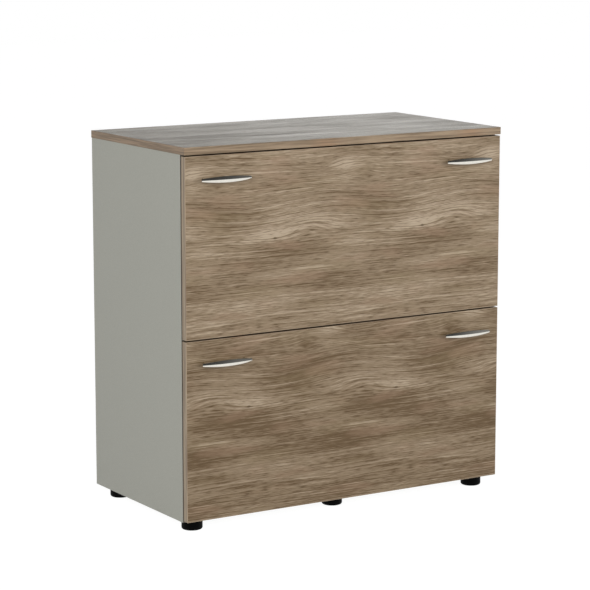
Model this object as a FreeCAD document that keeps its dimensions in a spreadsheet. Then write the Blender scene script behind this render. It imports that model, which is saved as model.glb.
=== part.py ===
import FreeCAD, Part
import math
import os
import Sketcher

# Lateral filing cabinet with two drawers for hanging folders.
# Lengths are in millimetres. The origin lies on the floor under the middle of the outer box.
# X runs to the right, Y runs to the rear and Z runs up. The drawers pull out along -Y.

doc = FreeCAD.newDocument("lateral_filing_cabinet")

# Driving sizes: name, value, what it is
SIZES = [
    ("width", 800, "top panel, side to side"),
    ("depth", 413.5, "face of the drawer fronts to the rear edge"),
    ("tall", 814, "floor to the top face"),
    ("top_board", 16, "thickness of the top panel"),
    ("side_board", 16, "thickness of a side panel"),
    ("bottom_board", 16, "thickness of the bottom panel"),
    ("back_board", 8, "thickness of the back panel"),
    ("front_board", 16, "thickness of a drawer front"),
    ("top_side_overhang", 1.5, "top panel beyond a side panel"),
    ("top_front_overhang", 0.5, "top panel beyond the drawer fronts"),
    ("edge_band", 1, "thickness of an edge band"),
    ("edge_round", 0.6, "rounding of an edge band"),
    ("back_inset", 10, "rear edge to the back panel"),
    ("back_groove", 7, "depth of the groove that holds the back panel"),
    ("groove_play", 0.2, "back panel in its groove"),
    ("front_gap", 3, "gap above each drawer front"),
    ("buffer_gap", 3, "drawer front to the panels behind it"),
    ("pitch_rest", 6, "clear height of the carcass beyond two drawer pitches"),
    ("bottom_reveal", 3.5, "lower front's lower edge above the underside"),
    ("foot_gap", 23, "floor to the underside of the panels"),
    ("foot_radius", 22.5, "levelling foot"),
    ("foot_chamfer", 3.5, "chamfer at the foot's lower edge"),
    ("foot_top_play", 0.3, "foot to the panel above it when screwed right in"),
    ("foot_side_inset", 36, "foot's axis to the outer face of a side panel"),
    ("foot_front_inset", 45, "front foot's axis to the face of the fronts"),
    ("foot_rear_inset", 45, "rear foot's axis to the rear edge"),
    ("middle_foot_inset", 63, "middle foot's axis to the face of the fronts"),
    ("spindle_radius", 5, "foot's spindle"),
    ("spindle_length", 13, "spindle above the panels' underside"),
    ("insert_radius", 7, "threaded insert"),
    ("insert_length", 14, "threaded insert"),
    ("thread_play", 0.1, "screw or spindle in its thread, on the radius"),
    ("wood_play", 0.1, "fitting in its drilled hole, on the radius"),
    ("cam_radius", 7.5, "cam housing"),
    ("cam_depth", 12.5, "cam housing"),
    ("cam_inset", 34, "cam's axis to the end of its board"),
    ("cam_end_inset", 80, "cam joint to the front or rear edge of the carcass"),
    ("cam_slot_radius", 4, "opening of the cam for the bolt's head"),
    ("bolt_radius", 3, "cam bolt's shank"),
    ("bolt_head_radius", 3.5, "cam bolt's head"),
    ("bolt_head_length", 3, "cam bolt's head"),
    ("bolt_thread_length", 11, "cam bolt's thread in the neighbouring board"),
    ("dowel_radius", 4, "wooden dowel"),
    ("dowel_length", 30, "wooden dowel"),
    ("dowel_step", 32, "dowel's axis to the cam bolt's axis"),
    ("dowel_end_play", 1, "end of a dowel to the end of its hole"),
    ("slide_setback", 3, "runner behind the front edge of the side panel"),
    ("slide_rear_room", 23.5, "runner to the back panel"),
    ("slide_rise", 45.5, "height of the cabinet member"),
    ("slide_thick", 12.7, "closed runner, panel to frame"),
    ("slide_sheet", 1, "steel of the runner members"),
    ("slide_drop", 136.5, "runner's axis below the top edge of its drawer front"),
    ("ball_radius", 1.2, "ball in the runner"),
    ("race_play", 0.15, "ball to its race"),
    ("bend_radius", 0.6, "inner radius of a bend in a runner member"),
    ("middle_web_gap", 1.8, "cabinet member's web to the middle member's web"),
    ("lip_gap", 0.35, "middle member's lip to the plane of the drawer member's web"),
    ("cage_length", 110, "ball cage"),
    ("outer_cage_sheet", 0.7, "outer ball cage"),
    ("inner_cage_sheet", 0.6, "inner ball cage"),
    ("cage_play", 0.35, "ball cage to the member beside it"),
    ("slide_screw_radius", 2, "runner screw's shank"),
    ("slide_screw_length", 12, "runner screw's shank"),
    ("slide_screw_head", 3.6, "radius of a runner screw's head"),
    ("slide_screw_head_rise", 0.9, "height of a runner screw's head"),
    ("slide_screw_inset", 20, "first runner screw behind the runner's front end"),
    ("slide_screw_rear_inset", 42, "last runner screw in front of the runner's rear end"),
    ("rail_drop", 91.5, "folder hook edge below the top edge of its drawer front"),
    ("frame_sheet", 1.5, "steel of the hanging frame"),
    ("frame_rear_room", 27.5, "hanging frame to the back panel"),
    ("rail_flange", 20, "side rail's upper flange"),
    ("rail_lip", 10, "hook edge above the upper flange"),
    ("rail_web", 70, "side rail's web"),
    ("rail_foot", 15, "side rail's lower flange"),
    ("centre_rail_width", 25.6, "centre rail across both hook edges"),
    ("bar_rise", 60, "cross bar's web"),
    ("bar_flange", 18, "cross bar's flanges"),
    ("bracket_drop", 150, "front bracket below the side rail"),
    ("bracket_reach", 110, "front bracket along the side rail"),
    ("bracket_flange", 18, "front bracket's flange on the drawer front"),
    ("bracket_nose", 12, "front bracket's straight edge at its corners"),
    ("frame_screw_radius", 2, "screw between frame and front"),
    ("frame_screw_length", 13, "screw between frame and front"),
    ("frame_screw_head", 4, "radius of the frame screw's head"),
    ("frame_screw_head_rise", 2, "height of the frame screw's head"),
    ("bar_screw_inset", 120, "bar screw's axis to the cabinet's middle plane"),
    ("bracket_screw_drop", 110, "bracket screw below the side rail"),
    ("handle_length", 119, "handle, tip to tip"),
    ("handle_reach", 21, "handle's ridge in front of the drawer front"),
    ("handle_tip_reach", 15, "ridge at the tips in front of the drawer front"),
    ("handle_thick", 5, "handle's blade"),
    ("handle_up", 5.6, "blade above its ridge in the middle"),
    ("handle_down", 7.4, "blade below its ridge in the middle"),
    ("handle_tip_up", 2.4, "blade above its ridge at the tips"),
    ("handle_tip_down", 2, "blade below its ridge at the tips"),
    ("handle_upper_bevel", 3.6, "ridge in front of the blade's upper edge"),
    ("handle_lower_bevel", 3.2, "ridge in front of the blade's lower edge"),
    ("handle_hole_span", 96, "handle screw to handle screw"),
    ("handle_post_radius", 3.4, "handle's posts"),
    ("handle_post_bite", 1.5, "post's end inside the blade"),
    ("handle_side_inset", 91, "handle's middle to the side edge of its front"),
    ("handle_drop", 48.4, "handle's ridge below the top edge of its front"),
    ("handle_screw_radius", 2, "handle screw's shank"),
    ("handle_screw_bite", 9, "handle screw inside the post"),
    ("handle_screw_head", 3.8, "radius of the handle screw's head"),
    ("handle_screw_head_rise", 2.4, "height of the handle screw's head"),
    ("screw_hole_play", 0.25, "handle screw in the drawer front, on the radius"),
    ("screw_tip_play", 1, "screw's tip to the end of its hole"),
    ("buffer_radius", 5, "buffer on the back of a front"),
    ("buffer_play", 0.3, "buffer to the panel behind it"),
    ("buffer_inset", 30, "buffer's axis to the upper or lower edge of its front"),
    ("overrun", 1, "cutting shapes beyond what they cut"),
]

sheet = doc.addObject("Spreadsheet::Sheet", "Sizes")
for row, (name, value, note) in enumerate(SIZES, start=1):
    sheet.set("A%d" % row, name)
    sheet.set("B%d" % row, str(value))
    sheet.set("C%d" % row, note)
    sheet.setAlias("B%d" % row, name)
doc.recompute()


class Length:
    # A length worked out from the sheet: its text binds a property, its value places first points.

    def __init__(self, text, value):
        self.text = text
        self.value = value

    def combine(self, sign, other, value, swapped=False):
        other_text = other.text if isinstance(other, Length) else repr(other)
        pair = (other_text, sign, self.text) if swapped else (self.text, sign, other_text)
        return Length("(%s %s %s)" % pair, value)

    def __add__(self, other):
        return self.combine("+", other, self.value + number(other))

    def __radd__(self, other):
        return self.combine("+", other, number(other) + self.value, True)

    def __sub__(self, other):
        return self.combine("-", other, self.value - number(other))

    def __rsub__(self, other):
        return self.combine("-", other, number(other) - self.value, True)

    def __mul__(self, other):
        return self.combine("*", other, self.value * number(other))

    def __rmul__(self, other):
        return self.combine("*", other, number(other) * self.value, True)

    def __truediv__(self, other):
        return self.combine("/", other, self.value / number(other))

    def __neg__(self):
        return Length("(0 - %s)" % self.text, -self.value)


def number(term):
    return term.value if isinstance(term, Length) else float(term)


def text_of(term):
    return term.text if isinstance(term, Length) else repr(term)


def root(term):
    return Length("sqrt(%s)" % term.text, math.sqrt(term.value))


class SheetSizes:
    # Reads each size of the sheet as a Length, by its name.

    def __init__(self):
        for name, value, note in SIZES:
            setattr(self, name, Length("Sizes." + name, float(sheet.get(name))))


sz = SheetSizes()
LEFT = -1
RIGHT = 1
SIDES = (("left", LEFT), ("right", RIGHT))
HALF = 0.5
DIAGONAL_SHARE = math.sqrt(HALF)
# How much of a dowel sits in the board whose face it enters, the rest being in the other board's end
DOWEL_FACE_SHARE = 1 / 3
# Length of a cut both ways through a wall, per wall
THROUGH_SHARE = 4

# Planes and levels that several pieces share
front_face = (sz.handle_reach - sz.depth) * HALF
rear_edge = front_face + sz.depth
front_back = front_face + sz.front_board
carcass_front = front_back + sz.buffer_gap
side_outer = sz.width * HALF - sz.top_side_overhang
side_inner = side_outer - sz.side_board
underside = sz.foot_gap
bottom_face = underside + sz.bottom_board
top_underside = sz.tall - sz.top_board
back_front = rear_edge - sz.back_inset - sz.back_board
drawer_pitch = (top_underside - underside - sz.pitch_rest) * HALF
upper_front_top = top_underside - sz.front_gap
lower_front_top = upper_front_top - drawer_pitch
frame_outer = side_inner - sz.slide_thick
slide_front = carcass_front + sz.slide_setback
slide_length = back_front - sz.slide_rear_room - slide_front
frame_length = back_front - sz.frame_rear_room - front_back
dowel_face_depth = sz.dowel_length * DOWEL_FACE_SHARE
dowel_end_depth = sz.dowel_length - dowel_face_depth

DRAWERS = (("upper", upper_front_top), ("lower", lower_front_top))

nodes = []


def bind(thing, prop, term):
    # Ties one property to the sheet. A plain zero is what the property already holds.
    if isinstance(term, Length):
        thing.setExpression(prop, term.text)


def place(thing, x, y, z, rotation=None):
    if rotation is not None:
        thing.Placement = FreeCAD.Placement(FreeCAD.Vector(), rotation)
    bind(thing, "Placement.Base.x", x)
    bind(thing, "Placement.Base.y", y)
    bind(thing, "Placement.Base.z", z)


def finish(thing, label):
    # Registers one finished sub-part under the name of its file.
    thing.Label = label
    nodes.append(thing)


def box(name, size, corner):
    thing = doc.addObject("Part::Box", name)
    for prop, term in zip(("Length", "Width", "Height"), size):
        bind(thing, prop, term)
    place(thing, *corner)
    return thing


AXES = {
    "+X": FreeCAD.Rotation(FreeCAD.Vector(0, 0, 1), FreeCAD.Vector(1, 0, 0)),
    "-X": FreeCAD.Rotation(FreeCAD.Vector(0, 0, 1), FreeCAD.Vector(-1, 0, 0)),
    "+Y": FreeCAD.Rotation(FreeCAD.Vector(0, 0, 1), FreeCAD.Vector(0, 1, 0)),
    "-Y": FreeCAD.Rotation(FreeCAD.Vector(0, 0, 1), FreeCAD.Vector(0, -1, 0)),
    "+Z": FreeCAD.Rotation(),
    "-Z": FreeCAD.Rotation(FreeCAD.Vector(0, 0, 1), FreeCAD.Vector(0, 0, -1)),
}


def outward(sign):
    # The direction from the cabinet's middle towards one side.
    return "+X" if sign == RIGHT else "-X"


def inward(sign):
    return outward(-sign)


def opposite(direction):
    return ("-" if direction[0] == "+" else "+") + direction[1]


def cylinder(name, radius, length, start, direction):
    thing = doc.addObject("Part::Cylinder", name)
    bind(thing, "Radius", radius)
    bind(thing, "Height", length)
    place(thing, *start, rotation=AXES[direction])
    return thing


def fuse(name, shapes):
    thing = doc.addObject("Part::MultiFuse", name)
    thing.Shapes = shapes
    thing.Refine = True
    return thing


def cut(name, base, tools):
    thing = doc.addObject("Part::Cut", name)
    thing.Base = base
    thing.Tool = tools[0] if len(tools) == 1 else fuse(name + "_cutters", tools)
    return thing


def headed_screw(name, shank_size, head_size, seat, head_way):
    # A screw from the plane that its head sits on. Each size is a radius and a length.
    head = cylinder(name + "_head", *head_size, seat, head_way)
    shank = cylinder(name + "_shank", *shank_size, seat, opposite(head_way))
    return fuse(name, [head, shank])


def group(name, members):
    thing = doc.addObject("Part::Compound", name)
    thing.Links = members
    return thing


# Sketches
def origin_plane(body, role):
    return [plane for plane in body.Origin.OriginFeatures if plane.Role == role][0]


def new_sketch(body, name, role):
    sketch = body.newObject("Sketcher::SketchObject", name)
    sketch.AttachmentSupport = [(origin_plane(body, role), "")]
    sketch.MapMode = "FlatFace"
    return sketch


def pin_point(sketch, geometry, end, x, y):
    # Fixes one point of a sketch at its distances from the sketch's origin.
    for kind, term in (("DistanceX", x), ("DistanceY", y)):
        index = sketch.addConstraint(Sketcher.Constraint(kind, -1, 1, geometry, end, number(term)))
        if isinstance(term, Length):
            sketch.setExpression("Constraints[%d]" % index, term.text)


def arc_between(start, end, radius, bulge):
    # The short arc from start to end that lies to the left (1) or right (-1) of the straight way.
    chord = end - start
    normal = FreeCAD.Vector(-chord.y, chord.x, 0).normalize()
    rest = math.sqrt(max(radius ** 2 - (chord.Length * HALF) ** 2, 0))
    centre = (start + end) * HALF - normal * (bulge * rest)
    angle_start = math.atan2(start.y - centre.y, start.x - centre.x)
    angle_end = math.atan2(end.y - centre.y, end.x - centre.x)
    circle = Part.Circle(centre, FreeCAD.Vector(0, 0, 1), radius)
    if bulge > 0:
        return Part.ArcOfCircle(circle, angle_end, angle_start)
    return Part.ArcOfCircle(circle, angle_start, angle_end)


def outline(body, name, role, corners, arcs=None):
    # A closed outline through its corners. arcs gives a radius and a side to the edge after a corner.
    sketch = new_sketch(body, name, role)
    arcs = arcs or {}
    points = [FreeCAD.Vector(number(x), number(y), 0) for x, y in corners]
    starts = []
    ends = []
    for index, start in enumerate(points):
        end = points[(index + 1) % len(points)]
        if index in arcs:
            radius, bulge = arcs[index]
            sketch.addGeometry(arc_between(start, end, number(radius), bulge), False)
            starts.append(2 if bulge > 0 else 1)
            ends.append(1 if bulge > 0 else 2)
        else:
            sketch.addGeometry(Part.LineSegment(start, end), False)
            starts.append(1)
            ends.append(2)
    for index in range(len(points)):
        after = (index + 1) % len(points)
        sketch.addConstraint(Sketcher.Constraint("Coincident", index, ends[index], after, starts[after]))
    for index, (x, y) in enumerate(corners):
        pin_point(sketch, index, starts[index], x, y)
    for index, (radius, bulge) in arcs.items():
        constraint = sketch.addConstraint(Sketcher.Constraint("Radius", index, number(radius)))
        sketch.setExpression("Constraints[%d]" % constraint, text_of(radius))
    return sketch


def circles(body, name, role, places, radius):
    sketch = new_sketch(body, name, role)
    for index, (x, y) in enumerate(places):
        centre = FreeCAD.Vector(number(x), number(y), 0)
        sketch.addGeometry(Part.Circle(centre, FreeCAD.Vector(0, 0, 1), number(radius)), False)
        pin_point(sketch, index, 3, x, y)
        constraint = sketch.addConstraint(Sketcher.Constraint("Radius", index, number(radius)))
        sketch.setExpression("Constraints[%d]" % constraint, text_of(radius))
    return sketch


def rectangle(low_x, low_y, high_x, high_y):
    return [(low_x, low_y), (high_x, low_y), (high_x, high_y), (low_x, high_y)]


def pad(body, name, sketch, length, towards_rear=False, both_ways=False):
    feature = body.newObject("PartDesign::Pad", name)
    feature.Profile = sketch
    bind(feature, "Length", length)
    feature.Reversed = towards_rear
    feature.Midplane = both_ways
    body.Tip = feature
    return feature


def pocket(body, name, sketch, length, reverse=False, both_ways=False):
    feature = body.newObject("PartDesign::Pocket", name)
    feature.Profile = sketch
    bind(feature, "Length", length)
    feature.Reversed = reverse
    feature.Midplane = both_ways
    body.Tip = feature
    return feature


def mirror(body, name, feature, role):
    mirrored = body.newObject("PartDesign::Mirrored", name)
    mirrored.Originals = [feature]
    mirrored.MirrorPlane = (origin_plane(body, role), [""])
    body.Tip = mirrored
    return mirrored


def new_body(name):
    return doc.addObject("PartDesign::Body", name)


# Carcass panels
CARCASS_JOINTS = (("front", carcass_front + sz.cam_end_inset, 1), ("rear", rear_edge - sz.cam_end_inset, -1))


def joint_places():
    # Each corner joint of the carcass along the depth: cam bolt and dowel, front and rear.
    for end, cam_y, way in CARCASS_JOINTS:
        yield end, cam_y, cam_y + sz.dowel_step * way


def centre_of_side(sign):
    return sign * (side_outer - sz.side_board * HALF)


def side_joint_holes(name, sign):
    # Holes of a side panel: cams and bolts for the top panel, bolt threads for the bottom panel, dowels.
    cam_level = top_underside - sz.cam_inset
    bottom_level = underside + sz.bottom_board * HALF
    inner = sign * side_inner
    middle = centre_of_side(sign)
    holes = []
    for end, cam_y, dowel_y in joint_places():
        label = "%s_%s" % (name, end)
        holes.append(cylinder(label + "_cam_hole", sz.cam_radius + sz.wood_play,
                              sz.cam_depth + sz.wood_play, (inner, cam_y, cam_level), outward(sign)))
        holes.append(cylinder(label + "_bolt_hole", sz.bolt_head_radius + sz.wood_play,
                              sz.cam_inset, (middle, cam_y, top_underside), "-Z"))
        holes.append(cylinder(label + "_dowel_hole", sz.dowel_radius + sz.wood_play,
                              dowel_end_depth + sz.dowel_end_play, (middle, dowel_y, top_underside), "-Z"))
        holes.append(cylinder(label + "_low_bolt_hole", sz.bolt_radius + sz.wood_play,
                              sz.bolt_thread_length + sz.screw_tip_play,
                              (inner, cam_y, bottom_level), outward(sign)))
        holes.append(cylinder(label + "_low_dowel_hole", sz.dowel_radius + sz.wood_play,
                              dowel_face_depth + sz.dowel_end_play,
                              (inner, dowel_y, bottom_level), outward(sign)))
    return holes


def slide_screw_places():
    # Screw places along a runner, near its ends.
    return (
        ("front", slide_front + sz.slide_screw_inset),
        ("rear", slide_front + slide_length - sz.slide_screw_rear_inset),
    )


def side_panel(label, sign):
    low_x = side_inner if sign == RIGHT else -side_outer
    size = (sz.side_board, rear_edge - carcass_front, top_underside - underside)
    board = box(label + "_board", size, (low_x, carcass_front, underside))
    groove_low = side_inner if sign == RIGHT else -(side_inner + sz.back_groove)
    groove_foot = bottom_face - sz.back_groove
    groove_size = (sz.back_groove, sz.back_board + 2 * sz.groove_play, top_underside - groove_foot)
    tools = [box(label + "_groove", groove_size, (groove_low, back_front - sz.groove_play, groove_foot))]
    tools += side_joint_holes(label, sign)
    for drawer, front_top in DRAWERS:
        for end, y in slide_screw_places():
            tools.append(cylinder("%s_%s_%s_slide_hole" % (label, drawer, end),
                                  sz.slide_screw_radius + sz.wood_play,
                                  sz.slide_screw_length + sz.wood_play,
                                  (sign * side_inner, y, front_top - sz.slide_drop), outward(sign)))
    finish(cut(label, board, tools), label)


def bottom_panel():
    size = (2 * side_inner, rear_edge - carcass_front, sz.bottom_board)
    board = box("bottom_board", size, (-side_inner, carcass_front, underside))
    groove_size = (2 * side_inner, sz.back_board + 2 * sz.groove_play, sz.back_groove)
    groove_low = bottom_face - sz.back_groove
    tools = [box("bottom_groove", groove_size, (-side_inner, back_front - sz.groove_play, groove_low))]
    middle = underside + sz.bottom_board * HALF
    for side, sign in SIDES:
        for end, cam_y, dowel_y in joint_places():
            label = "bottom_%s_%s" % (side, end)
            cam_x = sign * (side_inner - sz.cam_inset)
            tools.append(cylinder(label + "_cam_hole", sz.cam_radius + sz.wood_play,
                                  sz.cam_depth + sz.wood_play, (cam_x, cam_y, underside), "+Z"))
            tools.append(cylinder(label + "_bolt_hole", sz.bolt_head_radius + sz.wood_play,
                                  sz.cam_inset, (sign * side_inner, cam_y, middle), inward(sign)))
            tools.append(cylinder(label + "_dowel_hole", sz.dowel_radius + sz.wood_play,
                                  dowel_end_depth + sz.dowel_end_play,
                                  (sign * side_inner, dowel_y, middle), inward(sign)))
    for foot, x, y in feet_places():
        tools.append(cylinder("bottom_%s_hole" % foot, sz.insert_radius + sz.wood_play,
                              sz.bottom_board, (x, y, underside), "+Z"))
    finish(cut("bottom_panel", board, tools), "bottom_panel")


def back_panel():
    reach = sz.back_groove - sz.groove_play
    size = (2 * (side_inner + reach), sz.back_board, top_underside - bottom_face + 2 * reach)
    thing = box("back_panel", size, (-(side_inner + reach), back_front, bottom_face - reach))
    finish(thing, "back_panel")


def top_panel():
    band = sz.edge_band
    top_front = front_face - sz.top_front_overhang
    half = sz.width * HALF
    size = (2 * (half - band), rear_edge - top_front - 2 * band, sz.top_board)
    board = box("top_board_core", size, (band - half, top_front + band, top_underside))
    groove_end = side_inner + sz.back_groove
    groove_size = (2 * groove_end, sz.back_board + 2 * sz.groove_play, sz.back_groove)
    tools = [box("top_groove", groove_size, (-groove_end, back_front - sz.groove_play, top_underside))]
    for side, sign in SIDES:
        for end, cam_y, dowel_y in joint_places():
            label = "top_%s_%s" % (side, end)
            x = centre_of_side(sign)
            tools.append(cylinder(label + "_bolt_hole", sz.bolt_radius + sz.wood_play,
                                  sz.bolt_thread_length + sz.wood_play, (x, cam_y, top_underside), "+Z"))
            tools.append(cylinder(label + "_dowel_hole", sz.dowel_radius + sz.wood_play,
                                  dowel_face_depth + sz.dowel_end_play,
                                  (x, dowel_y, top_underside), "+Z"))
    finish(cut("top_panel", board, tools), "top_panel")
    edges = rectangle(-half, top_front, half, rear_edge)
    core = rectangle(band - half, top_front + band, half - band, rear_edge - band)
    edge_band("top_edge_band", "XY_Plane", edges, core, sz.top_board, top_underside)


def edge_band(label, role, edges, core, thickness, level):
    # A band round a board: the rounded outer block less the board itself.
    body = new_body(label)
    block = pad(body, label + "_block", outline(body, label + "_edges", role, edges), thickness,
                towards_rear=(role == "XZ_Plane"))
    doc.recompute()
    rounding = body.newObject("PartDesign::Fillet", label + "_rounding")
    rounding.Base = (block, ["Edge%d" % (index + 1) for index in range(len(block.Shape.Edges))])
    bind(rounding, "Radius", sz.edge_round)
    body.Tip = rounding
    opening = outline(body, label + "_core", role, core)
    pocket(body, label + "_opening", opening, THROUGH_SHARE * thickness, both_ways=True)
    if role == "XY_Plane":
        place(body, 0, 0, level)
    else:
        place(body, 0, level, 0)
    finish(body, label)


# Panel fittings
def cam_fittings():
    housings = []
    bolts = []
    dowels = []
    low_middle = underside + sz.bottom_board * HALF
    cam_level = top_underside - sz.cam_inset
    shank_size = (sz.bolt_radius, sz.cam_inset + sz.bolt_thread_length)
    head_size = (sz.bolt_head_radius, sz.bolt_head_length)
    for side, sign in SIDES:
        x = centre_of_side(sign)
        inner = sign * side_inner
        for end, cam_y, dowel_y in joint_places():
            label = "%s_%s" % (side, end)
            # The joint of the side panel with the top panel
            housing = cylinder(label + "_top_cam", sz.cam_radius, sz.cam_depth,
                               (inner, cam_y, cam_level), outward(sign))
            slot = cylinder(label + "_top_cam_slot", sz.cam_slot_radius, sz.cam_inset,
                            (x, cam_y, cam_level - sz.bolt_head_length), "+Z")
            housings.append(cut(label + "_top_cam_housing", housing, [slot]))
            bolts.append(headed_screw(label + "_top_bolt", shank_size, head_size,
                                      (x, cam_y, cam_level), "-Z"))
            dowels.append(cylinder(label + "_top_dowel", sz.dowel_radius, sz.dowel_length,
                                   (x, dowel_y, top_underside - dowel_end_depth), "+Z"))
            # The joint of the side panel with the bottom panel
            cam_x = sign * (side_inner - sz.cam_inset)
            housing = cylinder(label + "_low_cam", sz.cam_radius, sz.cam_depth,
                               (cam_x, cam_y, underside), "+Z")
            slot = cylinder(label + "_low_cam_slot", sz.cam_slot_radius, sz.cam_inset,
                            (cam_x - sign * sz.bolt_head_length, cam_y, low_middle), outward(sign))
            housings.append(cut(label + "_low_cam_housing", housing, [slot]))
            bolts.append(headed_screw(label + "_low_bolt", shank_size, head_size,
                                      (cam_x, cam_y, low_middle), inward(sign)))
            dowels.append(cylinder(label + "_low_dowel", sz.dowel_radius, sz.dowel_length,
                                   (inner - sign * dowel_end_depth, dowel_y, low_middle), outward(sign)))
    finish(group("cam_housings", housings), "cam_housings")
    finish(group("cam_bolts", bolts), "cam_bolts")
    finish(group("wooden_dowels", dowels), "wooden_dowels")


# Levelling feet
def feet_places():
    x = side_outer - sz.foot_side_inset
    front_y = front_face + sz.foot_front_inset
    rear_y = rear_edge - sz.foot_rear_inset
    return (
        ("front_left_foot", -x, front_y),
        ("front_right_foot", x, front_y),
        ("front_middle_foot", 0, front_face + sz.middle_foot_inset),
        ("rear_left_foot", -x, rear_y),
        ("rear_right_foot", x, rear_y),
    )


def levelling_foot(label, x, y):
    body = new_body(label)
    shoulder = underside - sz.foot_top_play
    top = underside + sz.spindle_length
    corners = [
        (0, 0),
        (sz.foot_radius - sz.foot_chamfer, 0),
        (sz.foot_radius, sz.foot_chamfer),
        (sz.foot_radius, shoulder),
        (sz.spindle_radius, shoulder),
        (sz.spindle_radius, top),
        (0, top),
    ]
    sketch = outline(body, label + "_section", "XZ_Plane", corners)
    turned = body.newObject("PartDesign::Revolution", label + "_turned")
    turned.Profile = sketch
    turned.ReferenceAxis = (sketch, ["V_Axis"])
    turned.Angle = 360
    body.Tip = turned
    place(body, x, y, 0)
    finish(body, label)


def foot_inserts():
    inserts = []
    for label, x, y in feet_places():
        sleeve = cylinder(label + "_sleeve", sz.insert_radius, sz.insert_length, (x, y, underside), "+Z")
        bore = cylinder(label + "_bore", sz.spindle_radius + sz.thread_play,
                        sz.insert_length, (x, y, underside), "+Z")
        inserts.append(cut(label + "_insert", sleeve, [bore]))
    finish(group("foot_inserts", inserts), "foot_inserts")


# Ball-bearing runners
# A section is drawn from the cabinet panel (u = 0) towards the drawer, and from the runner's axis up.
# Two ball rows run above the axis. The outer row, between cabinet member and middle member, lies
# higher. The inner row, between middle member and drawer member, lies nearer the drawer.
race = sz.ball_radius + sz.race_play
race_back = race + sz.slide_sheet
bend_back = sz.bend_radius + sz.slide_sheet
fold = race_back + sz.bend_radius
middle_web = sz.slide_sheet + sz.middle_web_gap
drawer_web = sz.slide_thick - sz.slide_sheet

# Outer ball row
outer_v = sz.slide_rise * HALF - race_back
outer_u = middle_web + bend_back + fold * DIAGONAL_SHARE
# Bend of the middle member beside the outer row
hump_u = middle_web + bend_back
hump_v = outer_v - fold * DIAGONAL_SHARE
# Inner ball row, so far down that the middle member fits between the rows
inner_u = drawer_web - sz.lip_gap - race_back
rows_apart = race + race_back
rows_step_u = inner_u - outer_u
rows_step_v = root(rows_apart * rows_apart - rows_step_u * rows_step_u)
inner_v = outer_v - rows_step_v
# Bend of the drawer member beside the inner row
drawer_hump_u = drawer_web - sz.bend_radius
drawer_step_u = drawer_hump_u - inner_u
drawer_step_v = root(fold * fold - drawer_step_u * drawer_step_u)
drawer_hump_v = inner_v - drawer_step_v

# Where a lip ends, as shares of the race radius: across and up from the ball's centre
OUTER_LIP_SHARES = (0.985, 0.174)
DRAWER_LIP_SHARES = (-0.707, -0.707)


def towards(centre_u, centre_v, share_u, share_v, distance):
    # The point at a distance from a centre, in the direction that two shares give.
    return (centre_u + distance * share_u, centre_v + distance * share_v)


def cabinet_member_section():
    top = sz.slide_rise * HALF
    lip_u, lip_v = OUTER_LIP_SHARES
    corners = [
        (0, 0),
        (sz.slide_sheet, 0),
        (sz.slide_sheet, top - bend_back),
        (bend_back, top - sz.slide_sheet),
        (outer_u, outer_v + race),
        towards(outer_u, outer_v, lip_u, lip_v, race),
        towards(outer_u, outer_v, lip_u, lip_v, race_back),
        (outer_u, top),
        (bend_back, top),
        (0, top - bend_back),
    ]
    arcs = {2: (sz.bend_radius, 1), 4: (race, 1), 6: (race_back, -1), 8: (bend_back, -1)}
    return corners, arcs


def middle_member_section():
    share = DIAGONAL_SHARE
    # Directions from the outer row to the bend and to the inner row
    u_share = rows_step_u / rows_apart
    v_share = -(rows_step_v / rows_apart)
    corners = [
        (middle_web, 0),
        (middle_web + sz.slide_sheet, 0),
        (middle_web + sz.slide_sheet, hump_v),
        towards(hump_u, hump_v, share, share, sz.bend_radius),
        towards(outer_u, outer_v, u_share, v_share, race_back),
        (inner_u + race, inner_v),
        (inner_u + race_back, inner_v),
        towards(outer_u, outer_v, u_share, v_share, race),
        towards(hump_u, hump_v, share, share, bend_back),
        (middle_web, hump_v),
    ]
    arcs = {
        2: (sz.bend_radius, 1),
        3: (race_back, -1),
        4: (race, 1),
        6: (race_back, -1),
        7: (race, 1),
        8: (bend_back, -1),
    }
    return corners, arcs


def drawer_member_section():
    u_share = drawer_step_u / fold
    v_share = -(drawer_step_v / fold)
    lip_u, lip_v = DRAWER_LIP_SHARES
    corners = [
        (drawer_web, 0),
        (sz.slide_thick, 0),
        (sz.slide_thick, drawer_hump_v),
        towards(inner_u, inner_v, u_share, v_share, race),
        towards(inner_u, inner_v, lip_u, lip_v, race),
        towards(inner_u, inner_v, lip_u, lip_v, race_back),
        towards(inner_u, inner_v, u_share, v_share, race_back),
        (drawer_web, drawer_hump_v),
    ]
    arcs = {2: (bend_back, -1), 3: (race, 1), 5: (race_back, -1), 6: (sz.bend_radius, 1)}
    return corners, arcs


def from_panel(sign, corners):
    # Turns a section for the left or right panel, so that u runs inward from it.
    return [(-sign * u, v) for u, v in corners]


def runner_member(label, sign, front_top, section, screwed):
    # One rolled member: half the section padded along the depth, mirrored below the axis.
    corners, arcs = section
    turned_arcs = {index: (radius, -sign * bulge) for index, (radius, bulge) in arcs.items()}
    body = new_body(label)
    sketch = outline(body, label + "_section", "XZ_Plane", from_panel(sign, corners), turned_arcs)
    half = pad(body, label + "_half", sketch, slide_length, towards_rear=True)
    mirror(body, label + "_rolled", half, "XY_Plane")
    if screwed:
        places = [(y - slide_front, 0) for end, y in slide_screw_places()]
        holes = circles(body, label + "_holes", "YZ_Plane", places, sz.slide_screw_radius + sz.wood_play)
        pocket(body, label + "_drilled", holes, THROUGH_SHARE * sz.slide_thick, both_ways=True)
    place(body, sign * side_inner, slide_front, front_top - sz.slide_drop)
    finish(body, label)


def cage_section(web, sheet_size, plate_v, plate_u):
    return [
        (web, 0),
        (web + sheet_size, 0),
        (web + sheet_size, plate_v),
        (plate_u, plate_v),
        (plate_u, plate_v + sheet_size),
        (web, plate_v + sheet_size),
    ]


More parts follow.
